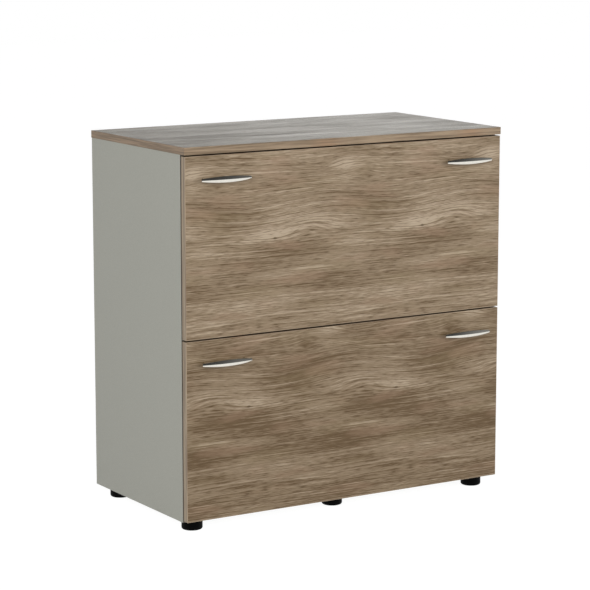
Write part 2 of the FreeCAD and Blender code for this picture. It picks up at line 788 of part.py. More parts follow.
def ball_cage(label, sign, front_top, corners):
    body = new_body(label)
    sketch = outline(body, label + "_section", "XZ_Plane", from_panel(sign, corners))
    half = pad(body, label + "_half", sketch, sz.cage_length, towards_rear=True)
    mirror(body, label + "_folded", half, "XY_Plane")
    middle = slide_front + (slide_length - sz.cage_length) * HALF
    place(body, sign * side_inner, middle, front_top - sz.slide_drop)
    return body


def runner_screws(name, x, sign, front_top, shank_length, head_way):
    # The screws of one member, their heads against its web at x.
    return [
        headed_screw("%s_%s_screw" % (name, end), (sz.slide_screw_radius, shank_length),
                     (sz.slide_screw_head, sz.slide_screw_head_rise),
                     (sign * x, y, front_top - sz.slide_drop), head_way)
        for end, y in slide_screw_places()
    ]


def runners():
    cabinet_screws = []
    outer_cage = cage_section(sz.slide_sheet + sz.cage_play + sz.race_play, sz.outer_cage_sheet,
                              hump_v + bend_back + sz.cage_play, outer_u + sz.cage_play)
    inner_plate = outer_v - race_back - sz.cage_play - sz.inner_cage_sheet
    inner_cage = cage_section(middle_web + sz.slide_sheet + sz.bend_radius, sz.inner_cage_sheet,
                              inner_plate, inner_u + sz.cage_play)
    for drawer, front_top in DRAWERS:
        outer_cages = []
        inner_cages = []
        for side, sign in SIDES:
            name = "%s_%s" % (drawer, side)
            runner_member(name + "_cabinet_member", sign, front_top, cabinet_member_section(), True)
            runner_member(name + "_middle_member", sign, front_top, middle_member_section(), False)
            cabinet_screws += runner_screws(name + "_cabinet", side_inner - sz.slide_sheet, sign, front_top,
                                            sz.slide_screw_length, inward(sign))
            outer_cages.append(ball_cage(name + "_outer_cage", sign, front_top, outer_cage))
            inner_cages.append(ball_cage(name + "_inner_cage", sign, front_top, inner_cage))
        finish(group(drawer + "_outer_ball_cages", outer_cages), drawer + "_outer_ball_cages")
        finish(group(drawer + "_inner_ball_cages", inner_cages), drawer + "_inner_ball_cages")
    finish(group("cabinet_member_screws", cabinet_screws), "cabinet_member_screws")


# Hanging-file frames
def flange_level(front_top):
    # Underside of the upper flanges, the frame's reference height.
    return front_top - sz.rail_drop - sz.rail_lip - sz.frame_sheet


def side_rail(label, sign, front_top):
    # Folded steel rail: hook edge, upper flange, web against the runner, lower flange.
    sheet_size = sz.frame_sheet
    web_low = sheet_size - sz.rail_web
    corners = [
        (0, sheet_size),
        (sz.rail_flange - sheet_size, sheet_size),
        (sz.rail_flange - sheet_size, sheet_size + sz.rail_lip),
        (sz.rail_flange, sheet_size + sz.rail_lip),
        (sz.rail_flange, 0),
        (sheet_size, 0),
        (sheet_size, web_low + sheet_size),
        (sz.rail_foot, web_low + sheet_size),
        (sz.rail_foot, web_low),
        (0, web_low),
    ]
    body = new_body(label)
    sketch = outline(body, label + "_section", "XZ_Plane", from_panel(sign, corners))
    pad(body, label + "_folded", sketch, frame_length, towards_rear=True)
    level = front_top - sz.slide_drop - flange_level(front_top)
    places = [(y - front_back, level) for end, y in slide_screw_places()]
    holes = circles(body, label + "_holes", "YZ_Plane", places, sz.slide_screw_radius + sz.wood_play)
    pocket(body, label + "_drilled", holes, THROUGH_SHARE * sz.rail_flange, both_ways=True)
    place(body, sign * frame_outer, front_back, flange_level(front_top))
    finish(body, label)


def cross_bar(label, front_top, at_front):
    # Channel across the frame, its web outermost.
    sheet_size = sz.frame_sheet
    sign = 1 if at_front else -1
    corners = [
        (0, 0),
        (sign * sz.bar_flange, 0),
        (sign * sz.bar_flange, -sheet_size),
        (sign * sheet_size, -sheet_size),
        (sign * sheet_size, sheet_size - sz.bar_rise),
        (sign * sz.bar_flange, sheet_size - sz.bar_rise),
        (sign * sz.bar_flange, -sz.bar_rise),
        (0, -sz.bar_rise),
    ]
    body = new_body(label)
    length = 2 * (frame_outer - sheet_size)
    sketch = outline(body, label + "_section", "YZ_Plane", corners)
    pad(body, label + "_folded", sketch, length, both_ways=True)
    if at_front:
        places = [(way * sz.bar_screw_inset, -sz.bar_rise * HALF) for way in (LEFT, RIGHT)]
        holes = circles(body, label + "_holes", "XZ_Plane", places, sz.frame_screw_radius + sz.wood_play)
        pocket(body, label + "_drilled", holes, THROUGH_SHARE * sheet_size, both_ways=True)
    place(body, 0, front_back if at_front else front_back + frame_length, flange_level(front_top))
    finish(body, label)


def centre_rail(label, front_top):
    # Channel with a hook edge for the folders on each side, carried by both cross bars.
    half = sz.centre_rail_width * HALF
    sheet_size = sz.frame_sheet
    top = sheet_size + sz.rail_lip
    corners = [
        (-half, 0),
        (half, 0),
        (half, top),
        (half - sheet_size, top),
        (half - sheet_size, sheet_size),
        (sheet_size - half, sheet_size),
        (sheet_size - half, top),
        (-half, top),
    ]
    body = new_body(label)
    pad(body, label + "_folded", outline(body, label + "_section", "XZ_Plane", corners),
        frame_length, towards_rear=True)
    place(body, 0, front_back, flange_level(front_top))
    finish(body, label)


def bracket_top(front_top):
    # Underside of the side rail's lower flange.
    return flange_level(front_top) + sz.frame_sheet - sz.rail_web


def front_bracket(name, sign, front_top):
    # Gusset under the side rail that keeps the tall front upright.
    body = new_body(name)
    reach = sz.bracket_reach
    nose = sz.bracket_nose
    plate = [
        (0, 0),
        (0, -sz.bracket_drop),
        (nose, -sz.bracket_drop),
        (reach, -nose),
        (reach, 0),
    ]
    pad(body, name + "_gusset", outline(body, name + "_plate", "YZ_Plane", plate), sz.frame_sheet,
        towards_rear=(sign == RIGHT))
    low_x = -sz.bracket_flange if sign == RIGHT else 0
    high_x = 0 if sign == RIGHT else sz.bracket_flange
    flange = rectangle(low_x, -sz.bracket_drop, high_x, 0)
    pad(body, name + "_flange", outline(body, name + "_flange_edges", "XZ_Plane", flange),
        sz.frame_sheet, towards_rear=True)
    low_x = -sz.rail_foot if sign == RIGHT else 0
    high_x = 0 if sign == RIGHT else sz.rail_foot
    seat = rectangle(low_x, 0, high_x, reach)
    pad(body, name + "_seat", outline(body, name + "_seat_edges", "XY_Plane", seat),
        sz.frame_sheet, towards_rear=True)
    hole_x = -sign * (sz.frame_sheet + (sz.bracket_flange - sz.frame_sheet) * HALF)
    sketch = circles(body, name + "_hole", "XZ_Plane", [(hole_x, -sz.bracket_screw_drop)],
                     sz.frame_screw_radius + sz.wood_play)
    pocket(body, name + "_drilled", sketch, THROUGH_SHARE * sz.frame_sheet, both_ways=True)
    place(body, sign * frame_outer, front_back, bracket_top(front_top))
    return body


def frame_screw_places(front_top):
    bar_level = flange_level(front_top) - sz.bar_rise * HALF
    bracket_level = bracket_top(front_top) - sz.bracket_screw_drop
    bracket_x = frame_outer - sz.frame_sheet - (sz.bracket_flange - sz.frame_sheet) * HALF
    return (
        ("left_bar", -sz.bar_screw_inset, bar_level),
        ("right_bar", sz.bar_screw_inset, bar_level),
        ("left_bracket", -bracket_x, bracket_level),
        ("right_bracket", bracket_x, bracket_level),
    )


def hanging_frame(drawer, front_top):
    for side, sign in SIDES:
        side_rail("%s_%s_side_rail" % (drawer, side), sign, front_top)
    cross_bar(drawer + "_front_bar", front_top, True)
    cross_bar(drawer + "_rear_bar", front_top, False)
    centre_rail(drawer + "_centre_rail", front_top)
    brackets = [front_bracket("%s_%s_bracket" % (drawer, side), sign, front_top) for side, sign in SIDES]
    finish(group(drawer + "_front_brackets", brackets), drawer + "_front_brackets")
    seat = front_back + sz.frame_sheet
    screws = [
        headed_screw("%s_%s_screw" % (drawer, name), (sz.frame_screw_radius, sz.frame_screw_length),
                     (sz.frame_screw_head, sz.frame_screw_head_rise), (x, seat, z), "+Y")
        for name, x, z in frame_screw_places(front_top)
    ]
    finish(group(drawer + "_frame_screws", screws), drawer + "_frame_screws")
    member_screws = []
    for side, sign in SIDES:
        name = "%s_%s" % (drawer, side)
        runner_member(name + "_drawer_member", sign, front_top, drawer_member_section(), True)
        member_screws += runner_screws(name + "_member", frame_outer + sz.slide_sheet, sign, front_top,
                                       sz.slide_sheet + 2 * sz.frame_sheet, outward(sign))
    finish(group(drawer + "_member_screws", member_screws), drawer + "_member_screws")


# Drawer fronts and handles
def handle_places(front_top):
    x = side_outer - sz.handle_side_inset
    return [(side, sign * x, front_top - sz.handle_drop) for side, sign in SIDES]


def drawer_front(drawer, low_edge, high_edge):
    band = sz.edge_band
    half = side_outer
    label = drawer + "_front"
    size = (2 * (half - band), sz.front_board, high_edge - low_edge - 2 * band)
    board = box(label + "_core", size, (band - half, front_face, low_edge + band))
    tools = []
    for side, x, z in handle_places(high_edge):
        for end, sign in SIDES:
            hole_x = x + sign * sz.handle_hole_span * HALF
            tools.append(cylinder("%s_%s_%s_handle_hole" % (label, side, end),
                                  sz.handle_screw_radius + sz.screw_hole_play,
                                  sz.front_board, (hole_x, front_face, z), "+Y"))
    depth = sz.frame_screw_length - sz.frame_sheet + sz.wood_play
    for name, x, z in frame_screw_places(high_edge):
        tools.append(cylinder("%s_%s_hole" % (label, name), sz.frame_screw_radius + sz.wood_play,
                              depth, (x, front_back, z), "-Y"))
    finish(cut(label, board, tools), label)
    edges = rectangle(-half, low_edge, half, high_edge)
    core = rectangle(band - half, low_edge + band, half - band, high_edge - band)
    edge_band(label + "_edge_band", "XZ_Plane", edges, core, sz.front_board, front_face)
    buffers = []
    for side, sign in SIDES:
        for end, z in (("top", high_edge - sz.buffer_inset), ("low", low_edge + sz.buffer_inset)):
            buffers.append(cylinder("%s_%s_%s_buffer" % (drawer, side, end), sz.buffer_radius,
                                    sz.buffer_gap - sz.buffer_play,
                                    (centre_of_side(sign), front_back, z), "+Y"))
    finish(group(drawer + "_buffers", buffers), drawer + "_buffers")


# The handle is a bowed blade with a ridge along its front, on two posts. Its ridge lies on a circle
# about the handle's own vertical axis, which stands far behind the front.
handle_half = sz.handle_length * HALF
handle_bow = sz.handle_reach - sz.handle_tip_reach
bow_radius = (handle_half * handle_half + handle_bow * handle_bow) / (2 * handle_bow)
bow_back = bow_radius - sz.handle_thick


def lens_radius(tip, middle):
    # Radius of the blade's upper or lower outline, from its height at the tips and in the middle.
    swell = middle - tip
    return (handle_half * handle_half + swell * swell) / (2 * swell)


def bow_handle(label, x, z):
    body = new_body(label)
    ridge = [
        (-bow_radius, 0),
        (sz.handle_lower_bevel - bow_radius, -sz.handle_down),
        (-bow_back, -sz.handle_down),
        (-bow_back, sz.handle_up),
        (sz.handle_upper_bevel - bow_radius, sz.handle_up),
    ]
    section = outline(body, label + "_ridge", "YZ_Plane", ridge)
    blade = body.newObject("PartDesign::Revolution", label + "_blade")
    blade.Profile = section
    blade.ReferenceAxis = (section, ["V_Axis"])
    sweep = (handle_half + 2 * sz.overrun) / bow_back
    blade.setExpression("Angle", "2 * asin(%s)" % sweep.text)
    blade.Midplane = True
    body.Tip = blade
    # The blade's outline from the front: what lies outside the lens is cut away
    low = lens_radius(sz.handle_tip_down, sz.handle_down)
    high = lens_radius(sz.handle_tip_up, sz.handle_up)
    far = sz.handle_length
    above = sz.handle_up + sz.overrun
    below = -(sz.handle_down + sz.overrun)
    upper = [
        (-handle_half, sz.handle_tip_up),
        (handle_half, sz.handle_tip_up),
        (handle_half, 0),
        (far, 0),
        (far, above),
        (-far, above),
        (-far, 0),
        (-handle_half, 0),
    ]
    lower = [
        (-handle_half, -sz.handle_tip_down),
        (handle_half, -sz.handle_tip_down),
        (handle_half, 0),
        (far, 0),
        (far, below),
        (-far, below),
        (-far, 0),
        (-handle_half, 0),
    ]
    for edge, corners, arc in (("upper", upper, (high, 1)), ("lower", lower, (low, -1))):
        lens = outline(body, "%s_%s_lens" % (label, edge), "XZ_Plane", corners, {0: arc})
        pocket(body, "%s_%s_edge" % (label, edge), lens, THROUGH_SHARE * bow_radius, both_ways=True)
    # Posts from the drawer front into the blade, drilled for the screws
    face = bow_radius - sz.handle_reach
    post_x = sz.handle_hole_span * HALF
    places = [(-post_x, 0), (post_x, 0)]
    posts = circles(body, label + "_post_circles", "XZ_Plane", places, sz.handle_post_radius)
    bind(posts, "AttachmentOffset.Base.z", face)
    post_length = root(bow_back * bow_back - post_x * post_x) - face + sz.handle_post_bite
    pad(body, label + "_posts", posts, post_length)
    bore = sz.handle_screw_radius + sz.thread_play
    holes = circles(body, label + "_hole_circles", "XZ_Plane", places, bore)
    bind(holes, "AttachmentOffset.Base.z", face)
    pocket(body, label + "_tapped", holes, sz.handle_screw_bite + sz.screw_tip_play, reverse=True)
    place(body, x, front_face + face, z)
    finish(body, label)


def handles(drawer, high_edge):
    screws = []
    for side, x, z in handle_places(high_edge):
        bow_handle("%s_%s_handle" % (drawer, side), x, z)
        for end, sign in SIDES:
            hole_x = x + sign * sz.handle_hole_span * HALF
            screws.append(headed_screw("%s_%s_%s_handle_screw" % (drawer, side, end),
                                       (sz.handle_screw_radius, sz.front_board + sz.handle_screw_bite),
                                       (sz.handle_screw_head, sz.handle_screw_head_rise),
                                       (hole_x, front_back, z), "+Y"))
    finish(group(drawer + "_handle_screws", screws), drawer + "_handle_screws")


def build_carcass():
    top_panel()
    for side, sign in SIDES:
        side_panel(side + "_side_panel", sign)
    bottom_panel()
    back_panel()
    cam_fittings()
    foot_inserts()
    for label, x, y in feet_places():
        levelling_foot(label, x, y)
    runners()


def build_drawers():
    drawer_front("upper", lower_front_top + sz.front_gap, upper_front_top)
    drawer_front("lower", underside + sz.bottom_reveal, lower_front_top)
    for drawer, front_top in DRAWERS:
        handles(drawer, front_top)
        hanging_frame(drawer, front_top)


def check_and_write():
    doc.recompute()
    for thing in doc.Objects:
        for state in thing.State:
            if state in ("Invalid", "Error"):
                raise RuntimeError("%s is %s" % (thing.Name, state))
    for thing in nodes:
        if thing.Shape.isNull() or not thing.Shape.isValid():
            raise RuntimeError("%s has no valid shape" % thing.Label)
    os.makedirs("parts", exist_ok=True)
    for thing in nodes:
        thing.Shape.exportStep("parts/%s.step" % thing.Label)


build_carcass()
build_drawers()
check_and_write()
print("%d sub-parts written" % len(nodes))
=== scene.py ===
import math

import bmesh
import bpy
from mathutils import Matrix, Vector


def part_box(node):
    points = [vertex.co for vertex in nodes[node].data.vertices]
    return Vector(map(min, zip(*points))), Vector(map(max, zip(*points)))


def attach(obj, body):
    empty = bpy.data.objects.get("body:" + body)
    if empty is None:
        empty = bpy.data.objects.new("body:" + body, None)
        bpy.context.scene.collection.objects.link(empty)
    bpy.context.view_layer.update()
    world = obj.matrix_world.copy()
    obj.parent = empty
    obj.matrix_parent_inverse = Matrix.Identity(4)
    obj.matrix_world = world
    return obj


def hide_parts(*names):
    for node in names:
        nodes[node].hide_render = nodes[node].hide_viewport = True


# Looks of a two-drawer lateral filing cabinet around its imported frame, in metres.

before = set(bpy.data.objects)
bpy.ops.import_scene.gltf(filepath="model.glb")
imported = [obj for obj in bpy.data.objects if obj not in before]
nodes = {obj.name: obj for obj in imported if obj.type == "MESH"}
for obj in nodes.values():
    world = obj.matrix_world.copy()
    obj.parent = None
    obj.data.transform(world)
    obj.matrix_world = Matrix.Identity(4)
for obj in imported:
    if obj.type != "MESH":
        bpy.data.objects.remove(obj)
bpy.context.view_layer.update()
print("frame loaded:", len(nodes), "nodes")


# Shader graph helper

class Graph:
    # one material's node tree, with short calls for the nodes used most

    def __init__(self, name):
        self.material = bpy.data.materials.new(name)
        self.material.use_nodes = True
        self.tree = self.material.node_tree
        self.shader = self.tree.nodes["Principled BSDF"]
        self.column = -1400

    def add(self, kind, inputs=None, **settings):
        node = self.tree.nodes.new(kind)
        node.location = (self.column, -200)
        self.column += 40
        for key, value in settings.items():
            setattr(node, key, value)
        for key, value in (inputs or {}).items():
            self.feed(node.inputs[key], value)
        return node

    def feed(self, socket, value):
        if isinstance(value, bpy.types.NodeSocket):
            self.tree.links.new(value, socket)
        else:
            socket.default_value = value

    def calc(self, operation, a, b=0.0, c=0.0):
        return self.add("ShaderNodeMath", {0: a, 1: b, 2: c}, operation=operation).outputs[0]

    def vector(self, x, y, z):
        return self.add("ShaderNodeCombineXYZ", {0: x, 1: y, 2: z}).outputs[0]

    def place(self, scale=(1, 1, 1)):
        where = self.add("ShaderNodeTexCoord").outputs["Object"]
        return self.add("ShaderNodeMapping", {"Vector": where, "Scale": scale}).outputs["Vector"]

    def noise(self, vector, scale=1.0, detail=2.0, roughness=0.5):
        node = self.add("ShaderNodeTexNoise", {"Vector": vector, "Scale": scale, "Detail": detail,
                                               "Roughness": roughness})
        return node.outputs[0]

    def cells(self, vector, scale):
        return self.add("ShaderNodeTexVoronoi", {"Vector": vector, "Scale": scale}).outputs["Color"]

    def ramp(self, value, low, high, share=1.0):
        # 0 to share as value goes from low to high, softly
        node = self.add("ShaderNodeMapRange", {"Value": value, "From Min": low, "From Max": high,
                                               "To Max": share}, interpolation_type="SMOOTHSTEP")
        return node.outputs[0]

    def mix(self, factor, first, second):
        node = self.add("ShaderNodeMix", data_type="RGBA")
        for index, value in ((0, factor), (6, first), (7, second)):
            self.feed(node.inputs[index], value)
        return node.outputs[2]

    def bump(self, height, strength, distance):
        node = self.add("ShaderNodeBump", {"Height": height, "Strength": strength, "Distance": distance})
        self.feed(self.shader.inputs["Normal"], node.outputs["Normal"])

    def finish(self, **sockets):
        for key, value in sockets.items():
            self.feed(self.shader.inputs[key.replace("_", " ")], value)
        return self.material


def tone(red, green, blue):
    # a colour in 0-255 screen values, as the linear colour that shaders take
    def linear(level):
        level = level / 255
        return level / 12.92 if level <= 0.04045 else ((level + 0.055) / 1.055) ** 2.4
    return (linear(red), linear(green), linear(blue), 1.0)


def paint(material, *names):
    for name in names:
        slots = nodes[name].data.materials
        slots.clear()
        slots.append(material)


# Wood decor: a printed walnut with its grain along X, which comes back after one repeat

woodDecor = {
    "light": (172, 155, 133),
    "middle": (136, 118, 95),
    "dark": (94, 74, 49),
    "line": (76, 57, 35),
    "rosy": (150, 123, 101),
    "olive": (138, 122, 92),
    "roughness": 0.36,
    "gloss": 0.3,                # strength of reflection, 0.5 for a plain coat of lacquer
    "grainRough": 0.04,          # how much rougher the dark lines are
    "coat": 0.0,
    "repeat": 0.375,
    "wave": 0.0085,              # lines swing up and down once a repeat
    "waveCrest": -0.048,
    "waveFrom": 0.596,           # heights that the swing starts, is fullest and fades at
    "waveFull": 0.655,
    "waveTo": 0.760,
    "wander": 0.0032,            # slow drift of the lines
    "ripple": 0.0003,
    "contrast": 1.5,
}
# Streaks from broad to fine: how often they change along and across the grain, and how much they count
woodStreaks = {
    "cloud": {"along": 6.0, "across": 19.0, "weight": 0.36},
    "broad": {"along": 4.0, "across": 28.0, "weight": 0.54},
    "bands": {"along": 5.0, "across": 80.0, "weight": 0.10},
    "narrow": {"along": 8.0, "across": 200.0, "weight": 0.15},
    "long": {"along": 6.0, "across": 450.0, "weight": 3.3},
    "pores": {"along": 45.0, "across": 820.0, "weight": 0.95},
}
woodClear = {"along": 8.0, "across": 22.0, "swing": 0.9}   # where the long lines are clear, and how much so
# Drifts of the lines; how far they go is in the look
woodDrifts = {
    "wander": {"along": 4.0, "across": 6.0},
    "ripple": {"along": 14.0, "across": 30.0},
}
# Tints, each from low to high in a pattern of its own
woodTints = {
    "rosy": {"along": 7.0, "across": 30.0, "low": 0.05, "high": 0.5, "share": 0.35},
    "olive": {"along": 6.0, "across": 24.0, "low": -0.05, "high": -0.5, "share": 0.2},
}
poreTint = {"low": -0.10, "high": -0.45, "share": 0.5}
woodBump = {"pores": 0.8, "strength": 0.2, "distance": 0.0001}
shadeReach = 1.2                 # shade of the darkest (-) and the lightest (+) wood
# Year rings, clearest where the lines swing: each starts with a light line and darkens to its end
woodRings = {
    "perMetre": 95.0,
    "drift": {"along": 4.0, "across": 9.0},
    "patch": {"along": 6.0, "across": 30.0, "low": -0.30, "high": 0.35},
    "shown": 0.15,
    "shownInSwing": 0.75,
    "darkWeight": -0.8,
    "darkPower": 6.0,
    "lightWeight": 0.5,
    "lightPower": 8.0,
}
# Figures of the print: where, half size, how far the lines part around them, how steeply they tilt the
# lines, how much lighter (+) or darker (-) they are, and the height that cuts them off below
decorFigures = [
    {"at": (-0.195, 0.620), "half": (0.075, 0.022), "part": 0.60, "light": 1.40, "above": 0.601},
    {"at": (-0.060, 0.630), "half": (0.065, 0.016), "tilt": -0.16, "light": 0.45, "above": 0.601},
    {"at": (-0.329, 0.729), "half": (0.026, 0.012), "part": 0.75, "light": -0.80},
    {"at": (-0.387, 0.756), "half": (0.026, 0.012), "part": 0.40, "light": 0.90},
    {"at": (-0.279, 0.783), "half": (0.024, 0.009), "part": 0.75, "light": 0.40},
    {"at": (-0.030, 0.755), "half": (0.080, 0.018), "tilt": 0.12, "light": 0.20},
    {"at": (-0.323, 0.680), "half": (0.075, 0.035), "light": -0.70},
    {"at": (-0.160, 0.675), "half": (0.080, 0.020), "light": 0.45},
    {"at": (-0.200, 0.575), "half": (0.250, 0.022), "light": -0.45},
    {"at": (-0.110, 0.5425), "half": (0.070, 0.0025), "light": 0.90},
    {"at": (-0.030, 0.523), "half": (0.080, 0.011), "light": -1.00},
    {"at": (-0.190, 0.534), "half": (0.060, 0.007), "light": 0.50},
    {"at": (-0.010, 0.500), "half": (0.100, 0.014), "light": -0.50},
    {"at": (-0.200, 0.480), "half": (0.110, 0.016), "light": 0.45},
    {"at": (-0.210, 0.425), "half": (0.060, 0.012), "part": 0.40, "light": 0.40},
    {"at": (0.000, 0.600), "half": (0.070, 0.120), "light": 0.35},
    {"at": (-0.190, 0.580), "half": (0.080, 0.120), "light": -0.30},
]
figureFade = 0.9                 # how soon a figure fades out
figureCut = 0.002                # softness of the cut
decorEyes = [{"at": (-0.1835, 0.6115), "half": (0.0045, 0.0028), "from": 1.6, "full": 0.2, "share": 0.6}]


def woodMaterial(name, look, across, place, figures=(), eyes=(), lighter=0.0):
    # place: 1 or -1 to flip the print, and how far it is shifted along and across
    g = Graph(name)
    split = g.add("ShaderNodeSeparateXYZ", {0: g.place()})
    along = g.calc("MULTIPLY_ADD", split.outputs["X"], float(place[0]), place[1])
    cross = g.calc("ADD", split.outputs[across], place[2])
    # the way along is bent into a ring, so that every pattern closes after one repeat
    radius = look["repeat"] / (2 * math.pi)
    angle = g.calc("DIVIDE", along, radius)
    ringX = g.calc("MULTIPLY", g.calc("COSINE", angle), radius)
    ringY = g.calc("MULTIPLY", g.calc("SINE", angle), radius)

    def pattern(alongScale, crossWay, crossScale, detail=1.0, roughness=0.5):
        # noise from -1 to 1, with its own scale along and across the grain
        where = g.vector(g.calc("MULTIPLY", ringX, alongScale), g.calc("MULTIPLY", ringY, alongScale),
                         g.calc("MULTIPLY", crossWay, crossScale))
        return g.calc("MULTIPLY_ADD", g.noise(where, 1.0, detail, roughness), 2.0, -1.0)

    def distance(spot):
        # squared distance from a figure in its half sizes, and how far along and above it
        away = g.calc("SUBTRACT", along, spot["at"][0])
        away = g.calc("WRAP", away, look["repeat"] / 2, -look["repeat"] / 2)
        rise = g.calc("SUBTRACT", cross, spot["at"][1])
        left = g.calc("DIVIDE", away, spot["half"][0])
        up = g.calc("DIVIDE", rise, spot["half"][1])
        return g.calc("ADD", g.calc("MULTIPLY", left, left), g.calc("MULTIPLY", up, up)), away, rise

    # grain lines: the way across, with the print's swing, a slow drift and the figures
    swing = g.calc("MULTIPLY", g.ramp(cross, look["waveFrom"], look["waveFull"]),
                   g.ramp(cross, look["waveTo"], look["waveFull"]))
    crest = g.calc("COSINE", g.calc("DIVIDE", g.calc("SUBTRACT", along, look["waveCrest"]), radius))
    lines = g.calc("MULTIPLY_ADD", g.calc("MULTIPLY", swing, crest), -look["wave"], cross)
    for key, drift in woodDrifts.items():
        lines = g.calc("MULTIPLY_ADD", pattern(drift["along"], cross, drift["across"], 0.0), look[key], lines)
    # the front's tone shift, for the lower front partly painted shade, and then the figures, which on the top
    # also hold painted light
    printAndPaintedLight = lighter
    for figure in figures:
        far, away, rise = distance(figure)
        near = g.calc("EXPONENT", g.calc("MULTIPLY", far, -figureFade))
        if figure.get("part"):
            pull = g.calc("DIVIDE", -figure["part"], g.calc("ADD", far, 1.0))
            lines = g.calc("MULTIPLY_ADD", rise, pull, lines)
        if figure.get("tilt"):
            lines = g.calc("MULTIPLY_ADD", g.calc("MULTIPLY", away, near), -figure["tilt"], lines)
        if figure.get("above"):
            cut = g.ramp(cross, figure["above"] - figureCut, figure["above"] + figureCut)
            near = g.calc("MULTIPLY", near, cut)
        printAndPaintedLight = g.calc("MULTIPLY_ADD", near, figure["light"], printAndPaintedLight)
    # streaks follow the bent lines, apart from the broadest
    layers = {}
    for key, streak in woodStreaks.items():
        way = cross if key == "cloud" else lines
        detail = 2.0 if key == "pores" else 1.0
        layers[key] = pattern(streak["along"], way, streak["across"], detail)
    # the long lines are few, because a small value squared is nearly none, and clear here and faint there
    fine = layers["long"]
    clear = pattern(woodClear["along"], cross, woodClear["across"])
    clear = g.calc("MULTIPLY_ADD", clear, woodClear["swing"], 1.0)
    layers["long"] = g.calc("MULTIPLY", g.calc("MULTIPLY", fine, g.calc("ABSOLUTE", fine)), clear)
    pores = layers["pores"]
    shade = printAndPaintedLight
    for key, streak in woodStreaks.items():
        shade = g.calc("MULTIPLY_ADD", layers[key], streak["weight"] * look["contrast"], shade)
    drift, patch = woodRings["drift"], woodRings["patch"]
    ringWay = pattern(drift["along"], lines, drift["across"])
    ringWay = g.calc("ADD", ringWay, g.calc("MULTIPLY", lines, woodRings["perMetre"]))
    ring = g.calc("FRACT", ringWay)
    shown = g.calc("MULTIPLY_ADD", swing, woodRings["shownInSwing"], woodRings["shown"])
    patches = g.ramp(pattern(patch["along"], cross, patch["across"]), patch["low"], patch["high"])
    shown = g.calc("MULTIPLY", shown, patches)
    darkLine = g.calc("MULTIPLY", g.calc("POWER", ring, woodRings["darkPower"]), shown)
    lightLine = g.calc("POWER", g.calc("SUBTRACT", 1.0, ring), woodRings["lightPower"])
    lightLine = g.calc("MULTIPLY", lightLine, shown)
    shade = g.calc("MULTIPLY_ADD", darkLine, woodRings["darkWeight"] * look["contrast"], shade)
    shade = g.calc("MULTIPLY_ADD", lightLine, woodRings["lightWeight"] * look["contrast"], shade)
    colour = g.mix(g.ramp(shade, -shadeReach, 0.0), tone(*look["dark"]), tone(*look["middle"]))
    colour = g.mix(g.ramp(shade, 0.0, shadeReach), colour, tone(*look["light"]))
    for key, tint in woodTints.items():
        tinted = pattern(tint["along"], lines, tint["across"])
        colour = g.mix(g.ramp(tinted, tint["low"], tint["high"], tint["share"]), colour, tone(*look[key]))
    lined = g.ramp(pores, poreTint["low"], poreTint["high"], poreTint["share"])
    colour = g.mix(lined, colour, tone(*look["line"]))
    for eye in eyes:
        far = distance(eye)[0]
        colour = g.mix(g.ramp(far, eye["from"], eye["full"], eye["share"]), colour, tone(*look["line"]))
    rough = g.calc("MINIMUM", shade, shadeReach)
    rough = g.calc("MULTIPLY_ADD", rough, -look["grainRough"], look["roughness"])
    g.bump(g.calc("MULTIPLY_ADD", pores, woodBump["pores"], fine), woodBump["strength"], woodBump["distance"])
    return g.finish(Base_Color=colour, Roughness=rough, Specular_IOR_Level=look["gloss"],
                    Coat_Weight=look["coat"], Coat_Roughness=0.2)


# Top panel: the same decor without the front's repeat and glossier, so the room shows in it; its colours are
# also paler and greyer than the fronts', a painted sheen added to the real reflection
topDecor = dict(woodDecor, light=(181, 171, 145), middle=(141, 128, 101), dark=(94, 80, 57),
                line=(66, 52, 33), rosy=(149, 124, 98), olive=(134, 122, 86), roughness=0.33, gloss=0.5,
                grainRough=0.10, coat=0.06, contrast=1.6, repeat=1.5)
# the first two are painted light, the top darker at the left and lighter at the right as the light falls; the
# last two are streaks of the print
topFiguresAndLightSlope = [
    {"at": (-0.40, 0.0), "half": (0.22, 0.50), "light": -0.5},
    {"at": (0.15, 0.0), "half": (0.22, 0.50), "light": 0.3},
    {"at": (-0.10, -0.10), "half": (0.12, 0.010), "light": 0.7},
    {"at": (-0.16, -0.06), "half": (0.15, 0.012), "light": -0.6},
]

# Dowels: plain pale beech
beech = {
    "light": (214, 176, 130),
    "middle": (200, 160, 114),
    "dark": (184, 143, 98),
    "line": (150, 112, 74),
    "rosy": (206, 164, 120),
    "olive": (196, 160, 112),
    "roughness": 0.55,
    "gloss": 0.5,
    "grainRough": 0.02,
    "coat": 0.0,
    "repeat": 0.9,
    "wave": 0.0,
    "waveCrest": 0.0,
    "waveFrom": 0.0,
    "waveFull": 0.5,
    "waveTo": 1.0,
    "wander": 0.004,
    "ripple": 0.0,
    "contrast": 0.6,
}


# Edge band: the same decor as a thin strip, its grain along the strip

edgeBand = {
    "light": (151, 131, 107),
    "dark": (110, 92, 70),
    "warm": (152, 112, 80),
    "warmAt": -0.057,            # a red-brown stretch of the print, which comes back as the decor does
    "warmHalf": 0.032,
    "warmShare": 0.45,
    "repeat": 0.375,
    "along": 5.0,                # streaks along the strip and across it
    "across": 190.0,
    "finer": 4,                  # how much finer the dark lines are than the streaks
    "fineShare": 0.45,
    "gapShadeShare": 0.85,
    "roughness": 0.42,
    "roughSwing": 0.1,
}
# the fronts' band is a little lighter, and painted dark on the edges that look up and down into the gaps:
# painted shade of the gaps
frontBand = dict(edgeBand, light=(166, 148, 124), dark=(130, 112, 92), warmAt=0.1, warmHalf=0.02,
                 gapShade=(88, 68, 46))


